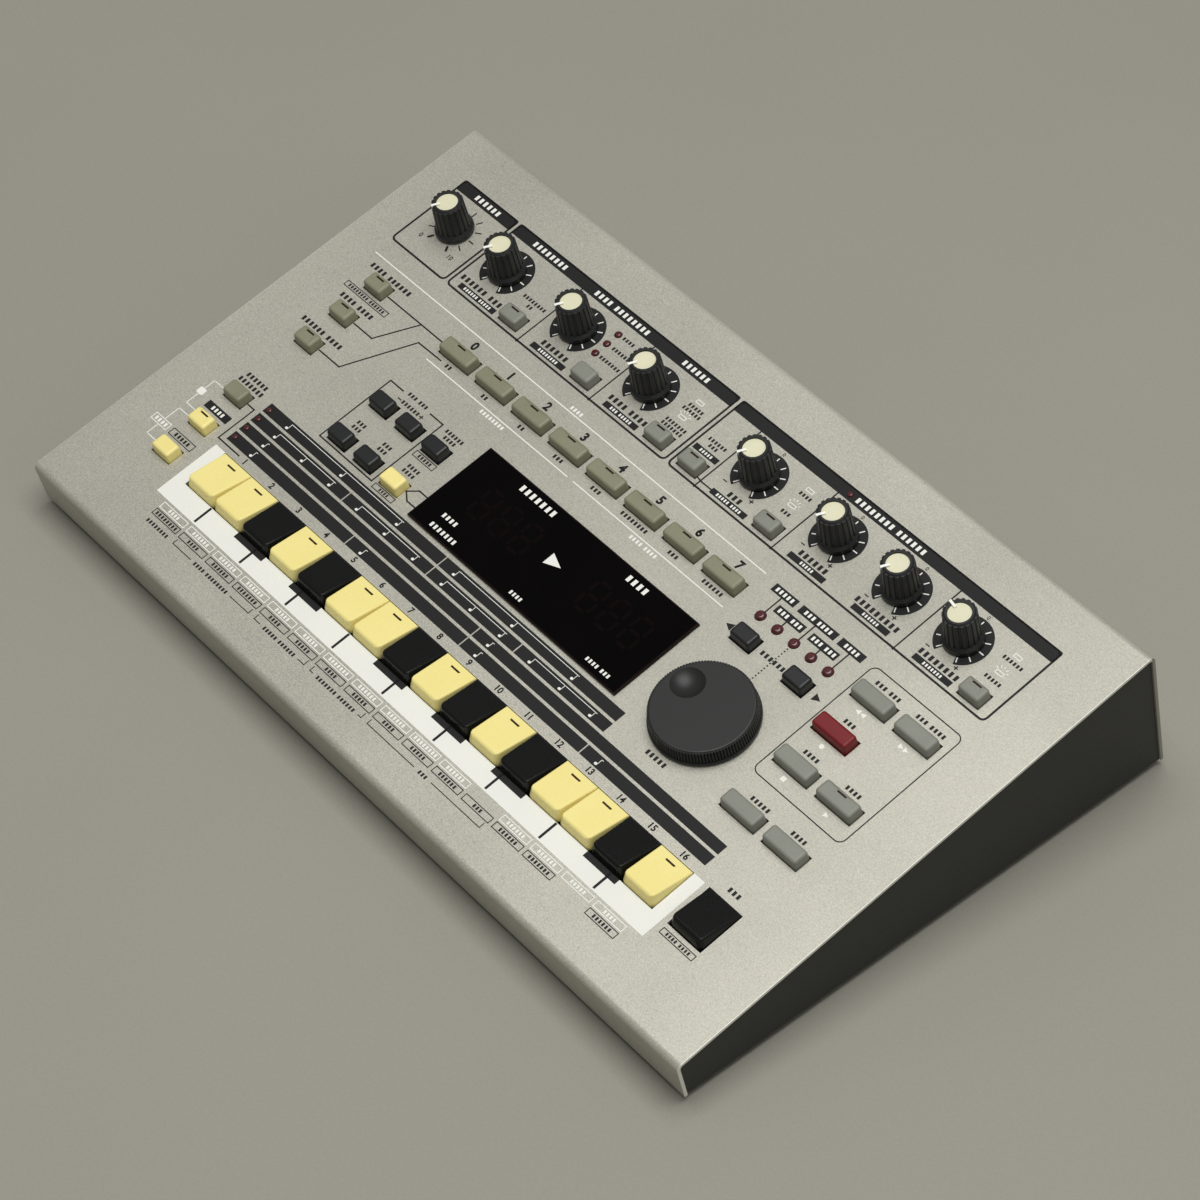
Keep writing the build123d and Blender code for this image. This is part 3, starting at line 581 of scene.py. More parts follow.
part_keys = [(-92.6 + 19.72 * step, 132.1) for step in range(8)]
left_keys = [(-138.7, 132.5), (-138.7, 116.3), (-138.7, 100.4), (-138.7, 68.3)]
section_keys = [(x, 155.9) for x in (-91.6, -52.8, -14.3, 2.9, 40.9, 138.6)]
pattern_keys = [(-96.1, 100.3), (-81.7, 100.3), (-67.3, 100.3), (-96.1, 81.6), (-81.7, 81.6)]
grey, olive, black, yellow, red = (
    f"{colour}_plastic" for colour in ("grey", "olive", "black", "yellow", "red"))
key_nodes = {
    "part_buttons": (long_key, olive, part_keys, range(8)),
    "left_column_buttons": (short_key, olive, left_keys, range(3)),
    "section_buttons": (short_key, grey, section_keys, (0, 2, 3, 4, 5)),
    "pattern_buttons": (short_key, black, pattern_keys, ()),
    "play_mode_button": (short_key, yellow, [(-67.3, 81.6)], ()),
    "function_button": (short_key, yellow, [(-138.5, 52.3)], (0,)),
    "shift_button": (short_key, yellow, [(-138.5, 36.3)], ()),
    "select_left_button": (short_key, black, [(68.9, 120.4)], ()),
    "select_right_button": (short_key, black, [(93.9, 120.4)], ()),
    "back_button": (long_key, grey, [(117.3, 132.0)], ()),
    "forward_button": (long_key, grey, [(137.2, 132.0)], ()),
    "record_button": (long_key, red, [(117.3, 115.0)], ()),
    "stop_button": (long_key, grey, [(117.3, 98.3)], ()),
    "play_button": (long_key, grey, [(137.2, 98.3)], (0,)),
    "enter_button": (long_key, grey, [(117.3, 75.4)], ()),
    "exit_button": (long_key, grey, [(137.2, 75.4)], ()),
}
key_kinds = {(width, lit): make_key(f"key_{width}_{lit}", width, lit)
             for width in (short_key, long_key) for lit in (True, False)}
for node, (width, slot, places, lit_ones) in key_nodes.items():
    caps = [copy_of(key_kinds[width, index in lit_ones], f"{node}_{index}", x, y)
            for index, (x, y) in enumerate(places)]
    lay(join(caps, f"{node}_caps"), node, (finish_of_slot[slot], lens_dark), (node,))
discard(*key_kinds.values())
print("key pieces laid:", len(key_nodes))

# %% [markdown]
# Knobs and the dial are round, so they grow like a stack of rings: a flat disc is extruded upwards
# again and again, and each new ring is scaled to its radius. Flutes are made on the way. After
# a very low step, some vertices of each pitch are drawn in, and at the shoulder the others follow them,
# so that the crown is round again.

# %% Rings that grow into knobs
flute_start = 0.55
sliver = 0.01
axis_reach = 0.5


def add_ring(name, count, radius, height):
    """Flat disc to be extruded upwards, with its vertices evenly round it."""
    deselect()
    bpy.ops.mesh.primitive_circle_add(
        vertices=count, radius=radius, fill_type="NGON", location=(0, 0, height))
    bpy.ops.object.transform_apply(location=True)
    ring = named(name)
    edit()
    bpy.ops.mesh.select_all(action="SELECT")
    return ring


def ring_to(height, radius, now):
    """Extrude the selected face to a height and scale it from one radius to another."""
    mesh = bmesh.from_edit_mesh(bpy.context.object.data)
    level = next(vert.co.z for vert in mesh.verts if vert.select)
    extrude_up(height - level)
    widen(radius / now)


def flute_at(place, count):
    """True for the last part of each pitch round the axis, which is drawn in."""
    turn = math.degrees(math.atan2(place.y, place.x)) % 360
    return (turn / 360 * count + exact) % 1 > flute_start


def fluted_to(foot, shoulder, foot_radius, top_radius, count, depth):
    """From a round top face: draw in the flutes, carry them up to the shoulder and close them again."""
    ring_to(foot + sliver, foot_radius, foot_radius)
    pick("VERT", lambda at: abs(at.z - foot - sliver) < exact and flute_at(at, count))
    widen(1 - depth / foot_radius)
    pick("FACE", lambda at: abs(at.z - foot - sliver) < exact and at.xy.length < axis_reach)
    ring_to(shoulder - sliver, top_radius, foot_radius)
    ring_to(shoulder, 1, 1)
    pick("VERT", lambda at: at.z > shoulder - exact and not flute_at(at, count))
    widen(1 - depth / top_radius)
    pick("FACE", lambda at: at.z > shoulder - exact and at.xy.length < axis_reach)


print("ring helpers ready")

# %% [markdown]
# A knob is a black fluted grip on a smooth flared skirt, with a cream cap sunk into its top
# and a pointer that runs from the cap over the rim. Its circle has eight vertices to each flute,
# and three of every eight are drawn in. All eight knobs are copies of these three pieces.

# %% Knobs
knob_flutes, flute_points, knob_flute_depth = 18, 8, 0.45
knob_rings = ((0.8, 7.2), (2.3, 7.1), (3.2, 6.3))
knob_shoulder, knob_rim, knob_height = 15.0, 15.55, 15.6
knob_top_radius, knob_edge = 5.8, 0.08
knob_cap_radius, knob_cap_foot, knob_cap_top = 4.1, 14.0, 14.9
knob_cap_gap, knob_cap_edge = 0.05, 0.2
pointer_start, pointer_width, pointer_edge = 0.6, 1.0, 0.15


def make_knob(name):
    foot, radius = knob_rings[0]
    knob = add_ring(name, knob_flutes * flute_points, radius, foot)
    for height, next_radius in knob_rings[1:]:
        ring_to(height, next_radius, radius)
        radius = next_radius
    grip_foot, grip_radius = knob_rings[-1]
    fluted_to(grip_foot, knob_shoulder, grip_radius, knob_top_radius, knob_flutes, knob_flute_depth)
    crown_radius = knob_top_radius - knob_flute_depth
    rim_radius = crown_radius + knob_shoulder - knob_rim
    ring_to(knob_rim, rim_radius, crown_radius)
    ring_to(knob_rim, knob_cap_radius, rim_radius)
    ring_to(knob_cap_foot, knob_cap_radius, knob_cap_radius)
    face_outwards()
    leave_edit()
    apply_modifier(knob, "BEVEL", width=knob_edge, segments=2, limit_method="ANGLE",
                   angle_limit=math.radians(38))
    smooth(knob)
    return knob


def make_knob_cap(name):
    """Cream disc with a soft rim, sunk in the knob."""
    cap = add_ring(name, 64, knob_cap_radius - knob_cap_gap, knob_cap_foot)
    ring_to(knob_cap_top, 1, 1)
    round_edges(knob_cap_edge, 3, lambda at: at.z > knob_cap_top - near)
    leave_edit()
    smooth(cap)
    return cap


def make_pointer(name):
    """White tab from the cap over the rim to the edge of the grip."""
    inner, outer = pointer_start * knob_cap_radius, knob_top_radius
    pointer = add_box(name, (pointer_width, outer - inner, knob_height - knob_cap_foot),
                      (0, (inner + outer) / 2, (knob_height + knob_cap_foot) / 2))
    edit()
    round_edges(pointer_edge, 2, lambda at: at.z > knob_height - near)
    leave_edit()
    smooth(pointer)
    return pointer


scale_end, scale_step = 150, 30
knob_names = ("volume", "arpeggio", "timing", "effect", "modulation", "cutoff", "resonance", "envelope")
knob_angles = {f"{name}_knob": -scale_end for name in knob_names}
knob_angles["envelope_knob"] = -78
knob_places = {node: joint_named[f"{node}_turn"]["pos_m"][0] / mm for node in knob_angles}
knob_pieces = {
    "grip": (make_knob("knob_grip"), black_plastic),
    "cap": (make_knob_cap("knob_cap"), cream_plastic),
    "pointer": (make_pointer("knob_pointer"), white_plastic),
}
for node, angle in knob_angles.items():
    for kind, (pattern, material) in knob_pieces.items():
        piece = copy_of(pattern, f"{node}_{kind}", knob_places[node], knob_row, -angle)
        lay(piece, node, (material,), (node,))
discard(*(pattern for pattern, _ in knob_pieces.values()))
print("knobs laid:", len(knob_angles))

# %% [markdown]
# The value dial is a flat black disc with a finely toothed edge and a finger dimple. It is made
# like a knob, ring by ring, with one vertex of every four drawn in. A sphere is then subtracted from
# its top with a Boolean modifier, because a dimple cut by hand would need many more steps.
# The toothed side gets a darker copy of the dial's finish as painted shade.

# %% Value dial
dial_teeth, tooth_points, dial_tooth_depth = 110, 4, 0.4
dial_lift, dial_height = 0.8, 7.0
dial_foot_radius, dial_radius, dial_top_radius = 18.8, 18.5, 18.0
dial_foot_top, dial_shoulder = 1.6, 6.5
dial_rim_drop, dial_rim_inset, dial_top_inset = 0.12, 0.25, 0.7
dial_dimple_radius, dial_dimple_depth = 6.0, 2.2
dial_dimple_angle, dial_dimple_reach = 164, 10.6


def make_dial(name):
    dial = add_ring(name, dial_teeth * tooth_points, dial_foot_radius, dial_lift)
    dial.data.materials.append(dial_plastic)
    dial.data.materials.append(dial_grip)
    ring_to(dial_foot_top, dial_foot_radius, dial_foot_radius)
    ring_to(dial_foot_top, dial_radius, dial_foot_radius)
    fluted_to(dial_foot_top, dial_shoulder, dial_radius, dial_top_radius, dial_teeth, dial_tooth_depth)
    crown_radius = dial_top_radius - dial_tooth_depth
    ring_to(dial_height - dial_rim_drop, crown_radius - dial_rim_inset, crown_radius)
    ring_to(dial_height, crown_radius - dial_top_inset, crown_radius - dial_rim_inset)
    face_outwards()
    leave_edit()
    ball_radius = (dial_dimple_radius ** 2 + dial_dimple_depth ** 2) / (2 * dial_dimple_depth)
    angle = math.radians(dial_dimple_angle)
    bpy.ops.mesh.primitive_uv_sphere_add(
        segments=96, ring_count=64, radius=ball_radius,
        location=(dial_dimple_reach * math.cos(angle), dial_dimple_reach * math.sin(angle),
                  dial_height + ball_radius - dial_dimple_depth))
    bpy.ops.object.transform_apply(location=True)
    ball = named("dimple_ball")
    apply_modifier(dial, "BOOLEAN", operation="DIFFERENCE", object=ball, solver="EXACT")
    discard(ball)
    activate(dial)
    edit()
    # Painted shade: the toothed side takes the darker copy of the finish.
    pick("FACE", lambda at: at.xy.length > crown_radius - near)
    dial.active_material_index = 1
    bpy.ops.object.material_slot_assign()
    leave_edit()
    smooth(dial, degrees=25)
    return dial


dial_spot = Vector(joint_named["value_dial_turn"]["pos_m"]) - panel_front
dial_x, dial_row = dial_spot.dot(panel_right) / mm, dial_spot.dot(panel_back) / mm
dial = make_dial("value_dial_disc")
dial.data.transform(Matrix.Translation((dial_x, dial_row, 0)))
lay(dial, "value_dial", (dial_plastic, dial_grip), ("value_dial",))
print("dial at", round(dial_x, 1), round(dial_row, 1))

# %% [markdown]
# The indicator lamps are small round lenses that stand a little proud of the panel. Each is
# a short cylinder whose top rim is bevelled until it is a dome, in three sizes.

# %% Indicator lamps
large_lamp, middle_lamp, small_lamp = 2.0, 1.4, 1.1
lamp_rise, lamp_dome, lamp_root = 0.6, 0.95, 1.0
lamp_places = ([(65.5 + 8.09 * step, 129.9, large_lamp) for step in range(5)]
               + [(-58.5, y, middle_lamp) for y in (176.0, 170.7, 165.3)]
               + [(-125.4, y, small_lamp) for y in (71.8, 66.8, 61.6, 56.4)]
               + [(51.5, 183.3, small_lamp)])


def make_lamp(name, radius):
    deselect()
    top = radius * lamp_rise
    bpy.ops.mesh.primitive_cylinder_add(
        vertices=24, radius=radius, depth=top + lamp_root, location=(0, 0, (top - lamp_root) / 2))
    bpy.ops.object.transform_apply(location=True)
    lamp = named(name)
    edit()
    round_edges(top * lamp_dome, 5, lambda at: at.z > top - close)
    leave_edit()
    smooth(lamp, degrees=50)
    return lamp


lamp_kinds = {radius: make_lamp(f"lamp_{radius}", radius)
              for radius in (large_lamp, middle_lamp, small_lamp)}
lamps = [copy_of(lamp_kinds[radius], f"lens_{index}", x, y)
         for index, (x, y, radius) in enumerate(lamp_places)]
lay(join(lamps, "lamp_lenses"), "case", (lamp_red,), ("indicator_lamps",))
discard(*lamp_kinds.values())
print("lamps laid:", len(lamp_places))

# %% [markdown]
# Four screws hold the cover's rear wall to the tray, and their low heads stand on the wall. A head is
# a short cylinder with its top rim bevelled, and two bars are subtracted from it for the cross recess.
# The rear wall stands square to the panel, so the head is turned to face backwards along the panel's y.

# %% Rear screws
screw_radius, screw_height, screw_root, screw_edge = 2.7, 0.9, 0.2, 0.5
cross_length, cross_width, cross_depth = 3.0, 0.7, 0.4
rear_wall, screw_row, screw_places = 205.0, -52.0, (-150, -50, 50, 150)


def make_screw(name):
    screw = add_ring(name, 48, screw_radius, -screw_root)
    ring_to(screw_height, 1, 1)
    round_edges(screw_edge, 4, lambda at: at.z > screw_height - close)
    leave_edit()
    for across, along in ((cross_length, cross_width), (cross_width, cross_length)):
        bar = add_box("cross_bar", (across, along, 2 * cross_depth), (0, 0, screw_height))
        apply_modifier(screw, "BOOLEAN", operation="DIFFERENCE", object=bar, solver="EXACT")
        discard(bar)
    smooth(screw)
    return screw


screw_head = make_screw("screw_head")
face_rear = Matrix.Rotation(math.radians(-90), 4, "X")
screw_head.data.transform(Matrix.Translation((0, rear_wall, screw_row)) @ face_rear)
screws = [copy_of(screw_head, f"screw_{x}", x) for x in screw_places]
lay(join(screws, "rear_screws"), "case", (blackened_steel,))
discard(screw_head)
print("rear screws laid:", len(screw_places))

# %% [markdown]
# Much of the panel's look is printing. Every mark starts as one flat square, the stamp, which is copied
# at a size and a turn. Lines and plates are built from it: a plate gets its round corners from a vertex
# bevel, and an outline is a plate whose inset middle is deleted. Marks are gathered in layers, so that
# white on black lies over the black.

# %% Stamps and layers of ink
deselect()
bpy.ops.mesh.primitive_plane_add(size=1)
stamp = named("stamp")
bpy.ops.mesh.primitive_circle_add(vertices=3, radius=1, fill_type="NGON", rotation=(0, 0, math.radians(-90)))
bpy.ops.object.transform_apply(rotation=True)
arrow = named("arrow")
white_base, black_marks, white_marks, glass_marks, faint_marks = [], [], [], [], []
hair, fine, thin, firm, bold = 0.22, 0.32, 0.42, 0.55, 0.8


def mark(layer, x, y, width, depth, turn=0.0, pattern=stamp):
    """One filled mark, centred on a place."""
    layer.append(copy_of(pattern, "mark", x, y, turn, (width, depth, 1)))
    return layer[-1]


def line(layer, width, *points):
    """Straight bars from point to point."""
    for start, end in zip(points, points[1:]):
        run = Vector(end) - Vector(start)
        middle = (Vector(start) + Vector(end)) / 2
        mark(layer, middle.x, middle.y, run.length + width, width, math.degrees(math.atan2(run.y, run.x)))


def plate(layer, left, right, low, high, radius=0.0, rim=0.0):
    """Rectangle with round corners. With a rim it is only an outline of that width."""
    activate(mark(layer, (left + right) / 2, (low + high) / 2, right - left, high - low))
    edit()
    bpy.ops.mesh.select_all(action="SELECT")
    if radius:
        bpy.ops.mesh.bevel(offset=radius, segments=5, affect="VERTICES")
        bpy.ops.mesh.select_all(action="SELECT")
    if rim:
        bpy.ops.mesh.inset(thickness=rim)
        bpy.ops.mesh.delete(type="FACE")
    leave_edit()


print("stamps:", stamp.name, arrow.name)

# %% [markdown]
# Words are rows of plain blocks, each row made from one stamp by an Array modifier, and a label is a word
# on a plate or in an outline. Numbers are text in Blender's own typeface, made a mesh. Plus and minus
# signs and the spokes of a scale are single bars.

# %% Words, labels, numbers and scales
letter_pitch, letter_width, letter_height, word_gap = 0.88, 0.55, 0.85, 0.6
tag_letter, numeral_size, sign_half = 0.6, 1.4, 0.7


def word(layer, x, y, height, *letters):
    """Words centred on a place, each a row of plain blocks."""
    pitch = letter_pitch * height
    left = x - pitch * (sum(letters) + word_gap * (len(letters) - 1) - 1) / 2
    for count in letters:
        block = mark(layer, left, y, letter_width * pitch, letter_height * height)
        apply_modifier(block, "ARRAY", count=count, use_relative_offset=False, use_constant_offset=True,
                       constant_offset_displace=(pitch, 0, 0))
        left += pitch * (count + word_gap)


def words(layer, height, *rows):
    """Words of one height. A row is a place and the letters of its words."""
    for x, y, *letters in rows:
        word(layer, x, y, height, *letters)


def dark_tag(left, right, low, high, *letters):
    """Black label with white words."""
    plate(black_marks, left, right, low, high)
    word(white_marks, (left + right) / 2, (low + high) / 2, tag_letter * (high - low), *letters)


def line_tag(layer, left, right, low, high, *letters):
    """Outlined label."""
    plate(layer, left, right, low, high, rim=fine)
    word(layer, (left + right) / 2, (low + high) / 2, tag_letter * (high - low), *letters)


def numeral(layer, number, x, y, height, weight=0.01):
    """Number in the plain built-in typeface, made bolder by a weight."""
    deselect()
    bpy.ops.object.text_add(location=(x, y, 0))
    data = bpy.context.object.data
    data.body, data.size, data.resolution_u = str(number), numeral_size * height, 3
    data.align_x = data.align_y = "CENTER"
    data.offset = weight * height
    bpy.ops.object.convert(target="MESH")
    bpy.ops.object.transform_apply(location=True)
    layer.append(named("numeral"))


def sign(layer, x, y, plus):
    """Minus sign, or a plus sign with a second bar."""
    line(layer, thin, (x - sign_half, y), (x + sign_half, y))
    if plus:
        line(layer, thin, (x, y - sign_half), (x, y + sign_half))


def spoke(layer, x, y, angle, inner, outer, width):
    """Bar on a spoke of a scale, its angle clockwise from straight back."""
    out = Vector((math.sin(math.radians(angle)), math.cos(math.radians(angle))))
    middle = Vector((x, y)) + out * (inner + outer) / 2
    mark(layer, middle.x, middle.y, outer - inner, width, 90 - angle)


print("printing helpers ready")

# %% [markdown]
# The knob row has three outlined boxes with black headers. Seven knobs stand on a black ring that is
# open in front, with eleven white ticks. The ring is a disc with its middle and a few faces deleted.
# The first knob has plain black ticks instead. Small lamp symbols, one with rays and one without,
# stand behind three of the keys.

# %% Printing round the knobs
box_low, header_low, box_high = 150.2, 181.0, 186.2
section_boxes = ((-154.1, -124.0, ()), (-122.9, -5.8, (-83.6, -44.9)), (-4.6, 148.3, (9.8, 47.9, 106.6)))
for left, right, dividers in section_boxes:
    plate(black_marks, left, right, box_low, box_high, radius=2.2, rim=bold)
    plate(black_marks, left, right, header_low, box_high, radius=1.0)
    for x in dividers:
        line(black_marks, firm, (x, box_low), (x, header_low))
header_row, title_height, small_height = 183.3, 2.6, 1.7
for x, *letters in ((-138.5, 6), (-103.6, 8), (-64.8, 4, 8), (-26.0, 6), (70.9, 8, 6)):
    word(white_marks, x, header_row, title_height, *letters)

scale_radius, scale_width, scale_mouth = 10.05, 5.0, 0.42
plain_tick, ring_tick = (7.7, 10.2), (7.15, 9.15)
sign_row, zero_row, zero_height = 158.9, 179.5, 1.5
scale_ring = add_ring("scale_ring", 72, scale_radius, 0)
bpy.ops.mesh.inset(thickness=scale_width)
bpy.ops.mesh.delete(type="FACE")
pick("FACE", lambda at: at.y < 0 and abs(at.x) < -scale_mouth * at.y)
bpy.ops.mesh.delete(type="FACE")
leave_edit()
for node, x in knob_places.items():
    plain = node == "volume_knob"
    if not plain:
        black_marks.append(copy_of(scale_ring, f"{node}_scale", x, knob_row))
    for angle in range(-scale_end, scale_end + 1, scale_step):
        if plain:
            spoke(black_marks, x, knob_row, angle, *plain_tick, 0.9 if abs(angle) == scale_end else 0.5)
        else:
            spoke(white_marks, x, knob_row, angle, *ring_tick, thin)
    if node in ("modulation_knob", "cutoff_knob", "resonance_knob", "envelope_knob"):
        numeral(black_marks, 0, x, zero_row, zero_height)
        sign(black_marks, x - 6.9, sign_row, plus=False)
        sign(black_marks, x + 6.2, sign_row, plus=True)
discard(scale_ring)
scale_number_row, scale_number_height = 158.6, 2.0
for number, x in ((0, -146.7), (10, -130.6)):
    numeral(black_marks, number, x, scale_number_row, scale_number_height)

words(black_marks, title_height, (-108.9, 156.4, 6, 4), (-69.9, 156.3, 6), (-31.1, 156.4, 4, 4),
      (23.8, 156.1, 3), (62.5, 156.1, 6), (93.1, 156.1, 9), (121.9, 156.1, 8))
knob_tags = (
    (-118.3, -99.0, 6, 5), (-78.6, -61.4, 8), (-39.8, -22.9, 3, 5), (15.3, 32.4, 5, 4),
    (53.8, 70.9, 5), (84.5, 101.5, 6), (113.3, 130.4, 7),
)
tag_low, tag_high = 152.0, 154.4
for left, right, *letters in knob_tags:
    dark_tag(left, right, tag_low, tag_high, *letters)
words(black_marks, small_height,
      (-91.5, 165.5, 8), (-91.5, 163.1, 2), (-53.3, 176.2, 4), (-51.3, 170.8, 6), (-51.1, 165.4, 7),
      (-14.0, 172.5, 5), (-14.0, 170.4, 6), (-14.0, 163.3, 7), (-14.0, 161.3, 7), (2.7, 167.4, 6),
      (2.7, 165.3, 3), (40.9, 172.6, 4), (40.9, 163.6, 3), (138.9, 172.6, 6), (138.9, 163.6, 5))
dark_tag(-3.1, 8.5, 160.9, 163.3, 5)
line(black_marks, firm, (7.9, 153.6), (10.4, 153.2), (15.3, 153.2))
lit_row, unlit_row, ray_reach = 167.0, 175.2, 60
for x in (-14.8, 40.4, 138.6):
    for y in (lit_row, unlit_row):
        plate(white_marks, x - 1.7, x + 1.7, y - 0.8, y + 0.8, radius=0.3, rim=fine)
    for angle in range(-ray_reach, ray_reach + 1, scale_step):
        spoke(white_marks, x, lit_row, angle, 2.1, 3.0, fine)
print("knob printing:", len(black_marks), "black marks,", len(white_marks), "white marks")

# %% [markdown]
# The keys have their labels behind them or in front. Thin lines tie keys that belong together,
# and the row of eight is numbered.

# %% Printing round the keys
part_number_row, part_number_height, part_number_weight = 138.7, 3.4, 0.06
part_word_row, part_word_height = 126.6, 1.9
for number, ((x, _), letters) in enumerate(zip(part_keys, (2, 2, 2, 3, 3, 8, 3, 6))):
    numeral(black_marks, number, x, part_number_row, part_number_height, part_number_weight)
    word(black_marks, x, part_word_row, part_word_height, letters)
for left, right, y in ((-152.7, 54.2, 142.5), (-101.2, -25.4, 123.8), (-22.1, 53.6, 123.8)):
    line(white_marks, thin, (left, y), (right, y))
group_height = 1.8
words(white_marks, group_height, (-44.0, 144.2, 4), (-63.4, 122.0, 8), (15.8, 122.0, 4, 4))

left_ties = (
    ((-133.2, 132.3), (-101.6, 132.3)),
    ((-133.2, 116.5), (-123.1, 116.5), (-114.6, 132.1)),
    ((-133.2, 100.6), (-122.0, 100.6), (-109.0, 126.5), (-96.8, 126.7)),
)
for points in left_ties:
    line(black_marks, firm, *points)
words(black_marks, 2.4, (-138.8, 138.1, 4, 6), (-138.8, 122.2, 4, 4), (-138.8, 106.2, 6, 4))
words(black_marks, 2.2, (-138.8, 76.8, 6), (-138.8, 73.9, 7))
line_tag(black_marks, -150.3, -127.1, 125.3, 127.9, 8, 6)
dark_tag(-145.1, -132.5, 57.3, 60.6, 4)
line_tag(black_marks, -145.0, -132.4, 41.2, 44.4, 5)
line_tag(white_marks, -155.2, -146.5, 41.2, 44.4, 4)
rail = -150.7
line(white_marks, fine, (-143.9, 66.8), (rail, 66.8), (rail, 62.4))
plate(white_marks, rail - 1.6, rail + 1.6, 59.4, 62.2, radius=0.6)
line(white_marks, fine, (rail, 59.2), (rail, 54.0), (-143.7, 54.0))
line(white_marks, fine, (-143.7, 50.8), (rail, 50.8), (rail, 44.6))
line(white_marks, fine, (rail, 41.0), (rail, 36.3), (-143.7, 36.3))
line(black_marks, firm, (-133.4, 68.3), (-129.7, 68.3), (-129.7, 52.2), (-117.9, 52.2))

cluster_left, cluster_right, cluster_low, cluster_high = -103.4, -74.5, 77.0, 109.2
line(black_marks, firm, (-96.5, cluster_high), (cluster_left, cluster_high), (cluster_left, cluster_low),
     (cluster_right, cluster_low), (cluster_right, cluster_high), (-81.4, cluster_high))
sign(black_marks, -94.7, 106.1, plus=False)
sign(black_marks, -82.7, 106.1, plus=True)
words(black_marks, group_height,
      (-89.1, 109.9, 3, 3), (-88.7, 106.1, 6), (-67.3, 108.4, 6), (-67.3, 106.1, 4), (-96.0, 90.0, 3),
      (-96.0, 87.6, 3), (-81.8, 90.0, 3), (-81.8, 87.6, 3), (-67.3, 90.0, 4), (-67.3, 87.6, 4))
line_tag(black_marks, -72.8, -61.9, 93.6, 96.3, 5)
line_tag(black_marks, -72.8, -61.9, 75.3, 77.7, 4)
for height in (85.5, 79.9):
    line(black_marks, firm, (-62.0, 82.4), (-58.6, height), (-54.2, height))
print("after the keys:", len(black_marks), "black marks,", len(white_marks), "white marks")

# %% [markdown]
# The pads sit on a white strip that is drawn like a keyboard. Four black strips behind them show
# note lengths with small white notes, and rows of outlined labels lie in front.

# %% Printing round the pads
strip_left, strip_right, strip_low, strip_high = -127.9, 127.6, 23.4, 49.8
opening_side, opening_low = 122.57, 31.85
plate(white_base, strip_left, strip_right, strip_low, opening_low)
plate(white_base, strip_left, -opening_side, opening_low, strip_high)
plate(white_base, opening_side, strip_right, opening_low, strip_high)
black_key_half, black_key_low = 7.7, 29.6
for number in black_pads:
    x = pad_x(number)
    plate(black_marks, x - black_key_half, x + black_key_half, black_key_low, opening_low)
key_line, key_line_low, key_line_high = 1.0, 24.6, 31.2
for x in (-107.1, -81.6, -56.1, -30.5, -3.8, 23.0, 49.7, 76.6, 103.3):
    line(black_marks, key_line, (x, key_line_low), (x, key_line_high))
number_row, number_height, number_weight, number_shift = 51.9, 2.4, 0.04, 0.6
for number in pad_numbers:
    numeral(black_marks, number, pad_x(number) + number_shift, number_row, number_height, number_weight)

length_strips = (
    (70.0, 74.4, 61.7, (-30.1,), ((1, 3, 5), (7, 9, 11))),
    (64.6, 68.9, 61.7, (-75.9, -30.1, 15.8), ((1, 2, 3), (4, 5, 6), (7, 8, 9), (10, 11, 12))),
    (59.4, 63.5, 123.1, (0.3,), ((1,), (9,))),
    (53.9, 58.3, 123.1, (-60.8, 0.3, 61.6), ((1,), (5,), (9,), (13,))),
)
length_left, half_gap = -127.5, 0.25
stem_shift, stem_drop, beam_end = 0.5, 1.0, 1.2
for low, high, right, gaps, groups in length_strips:
    ends = (length_left, *gaps, right)
    for start, end in zip(ends, ends[1:]):
        plate(black_marks, start + half_gap, end - half_gap, low, high)
    stem_top = high - stem_drop
    for group in groups:
        for x in map(pad_x, group):
            plate(white_marks, x - 0.7, x + 0.6, low + 0.7, low + 1.65, radius=0.45)
            line(white_marks, hair, (x + stem_shift, low + 1.2), (x + stem_shift, stem_top))
        line(white_marks, hair, (pad_x(group[0]) + stem_shift, stem_top),
             (pad_x(group[-1]) + beam_end, stem_top))

upper_labels = (4, 6, 6, 6, 5, 5, 7, 6, 6, 8, 6, 0, 6, 6, 5, 4)
lower_labels = (8, 4, 6, 7, 4, 5, 4, 5, 4, 5, 6, 3, 6, 7, 0, 6)
label_half, label_high = 6.9, 2.8
for layer, low, labels in ((white_marks, 19.6, upper_labels), (black_marks, 16.2, lower_labels)):
    for x, letters in zip(map(pad_x, pad_numbers), labels):
        if letters:
            line_tag(layer, x - label_half, x + label_half, low, low + label_high, letters)
bracket_side, bracket_high, bracket_low, bracket_letter = 6.0, 15.4, 13.4, 0.75
for first, last, *letters in ((2, 4, 4, 8), (5, 6, 5, 6), (7, 8, 7, 6), (9, 12, 3)):
    middle = (pad_x(first) + pad_x(last)) / 2
    space = bracket_letter * (sum(letters) + 3)
    for x, side in ((pad_x(first), -1), (pad_x(last), 1)):
        end, inner = x + side * bracket_side, middle + side * space
        line(black_marks, fine, (end, bracket_high), (end, bracket_low), (inner, bracket_low))
    word(black_marks, middle, bracket_low, small_height, *letters)
word(black_marks, pad_x(1), 13.6, small_height, 8)
line_tag(black_marks, 130.1, 145.4, 27.9, 30.4, 4, 4)
word(black_marks, 137.2, 53.5, 2.2, 3)
print("after the pads:", len(black_marks), "black marks,", len(white_marks), "white marks")

# %% [markdown]
# On the right, tags with leaders name the five lamps, and the transport keys have an outline and the
# usual symbols. The window carries a white arrow and a few words, over digits that aren't lit:
# each digit is seven faint bars.

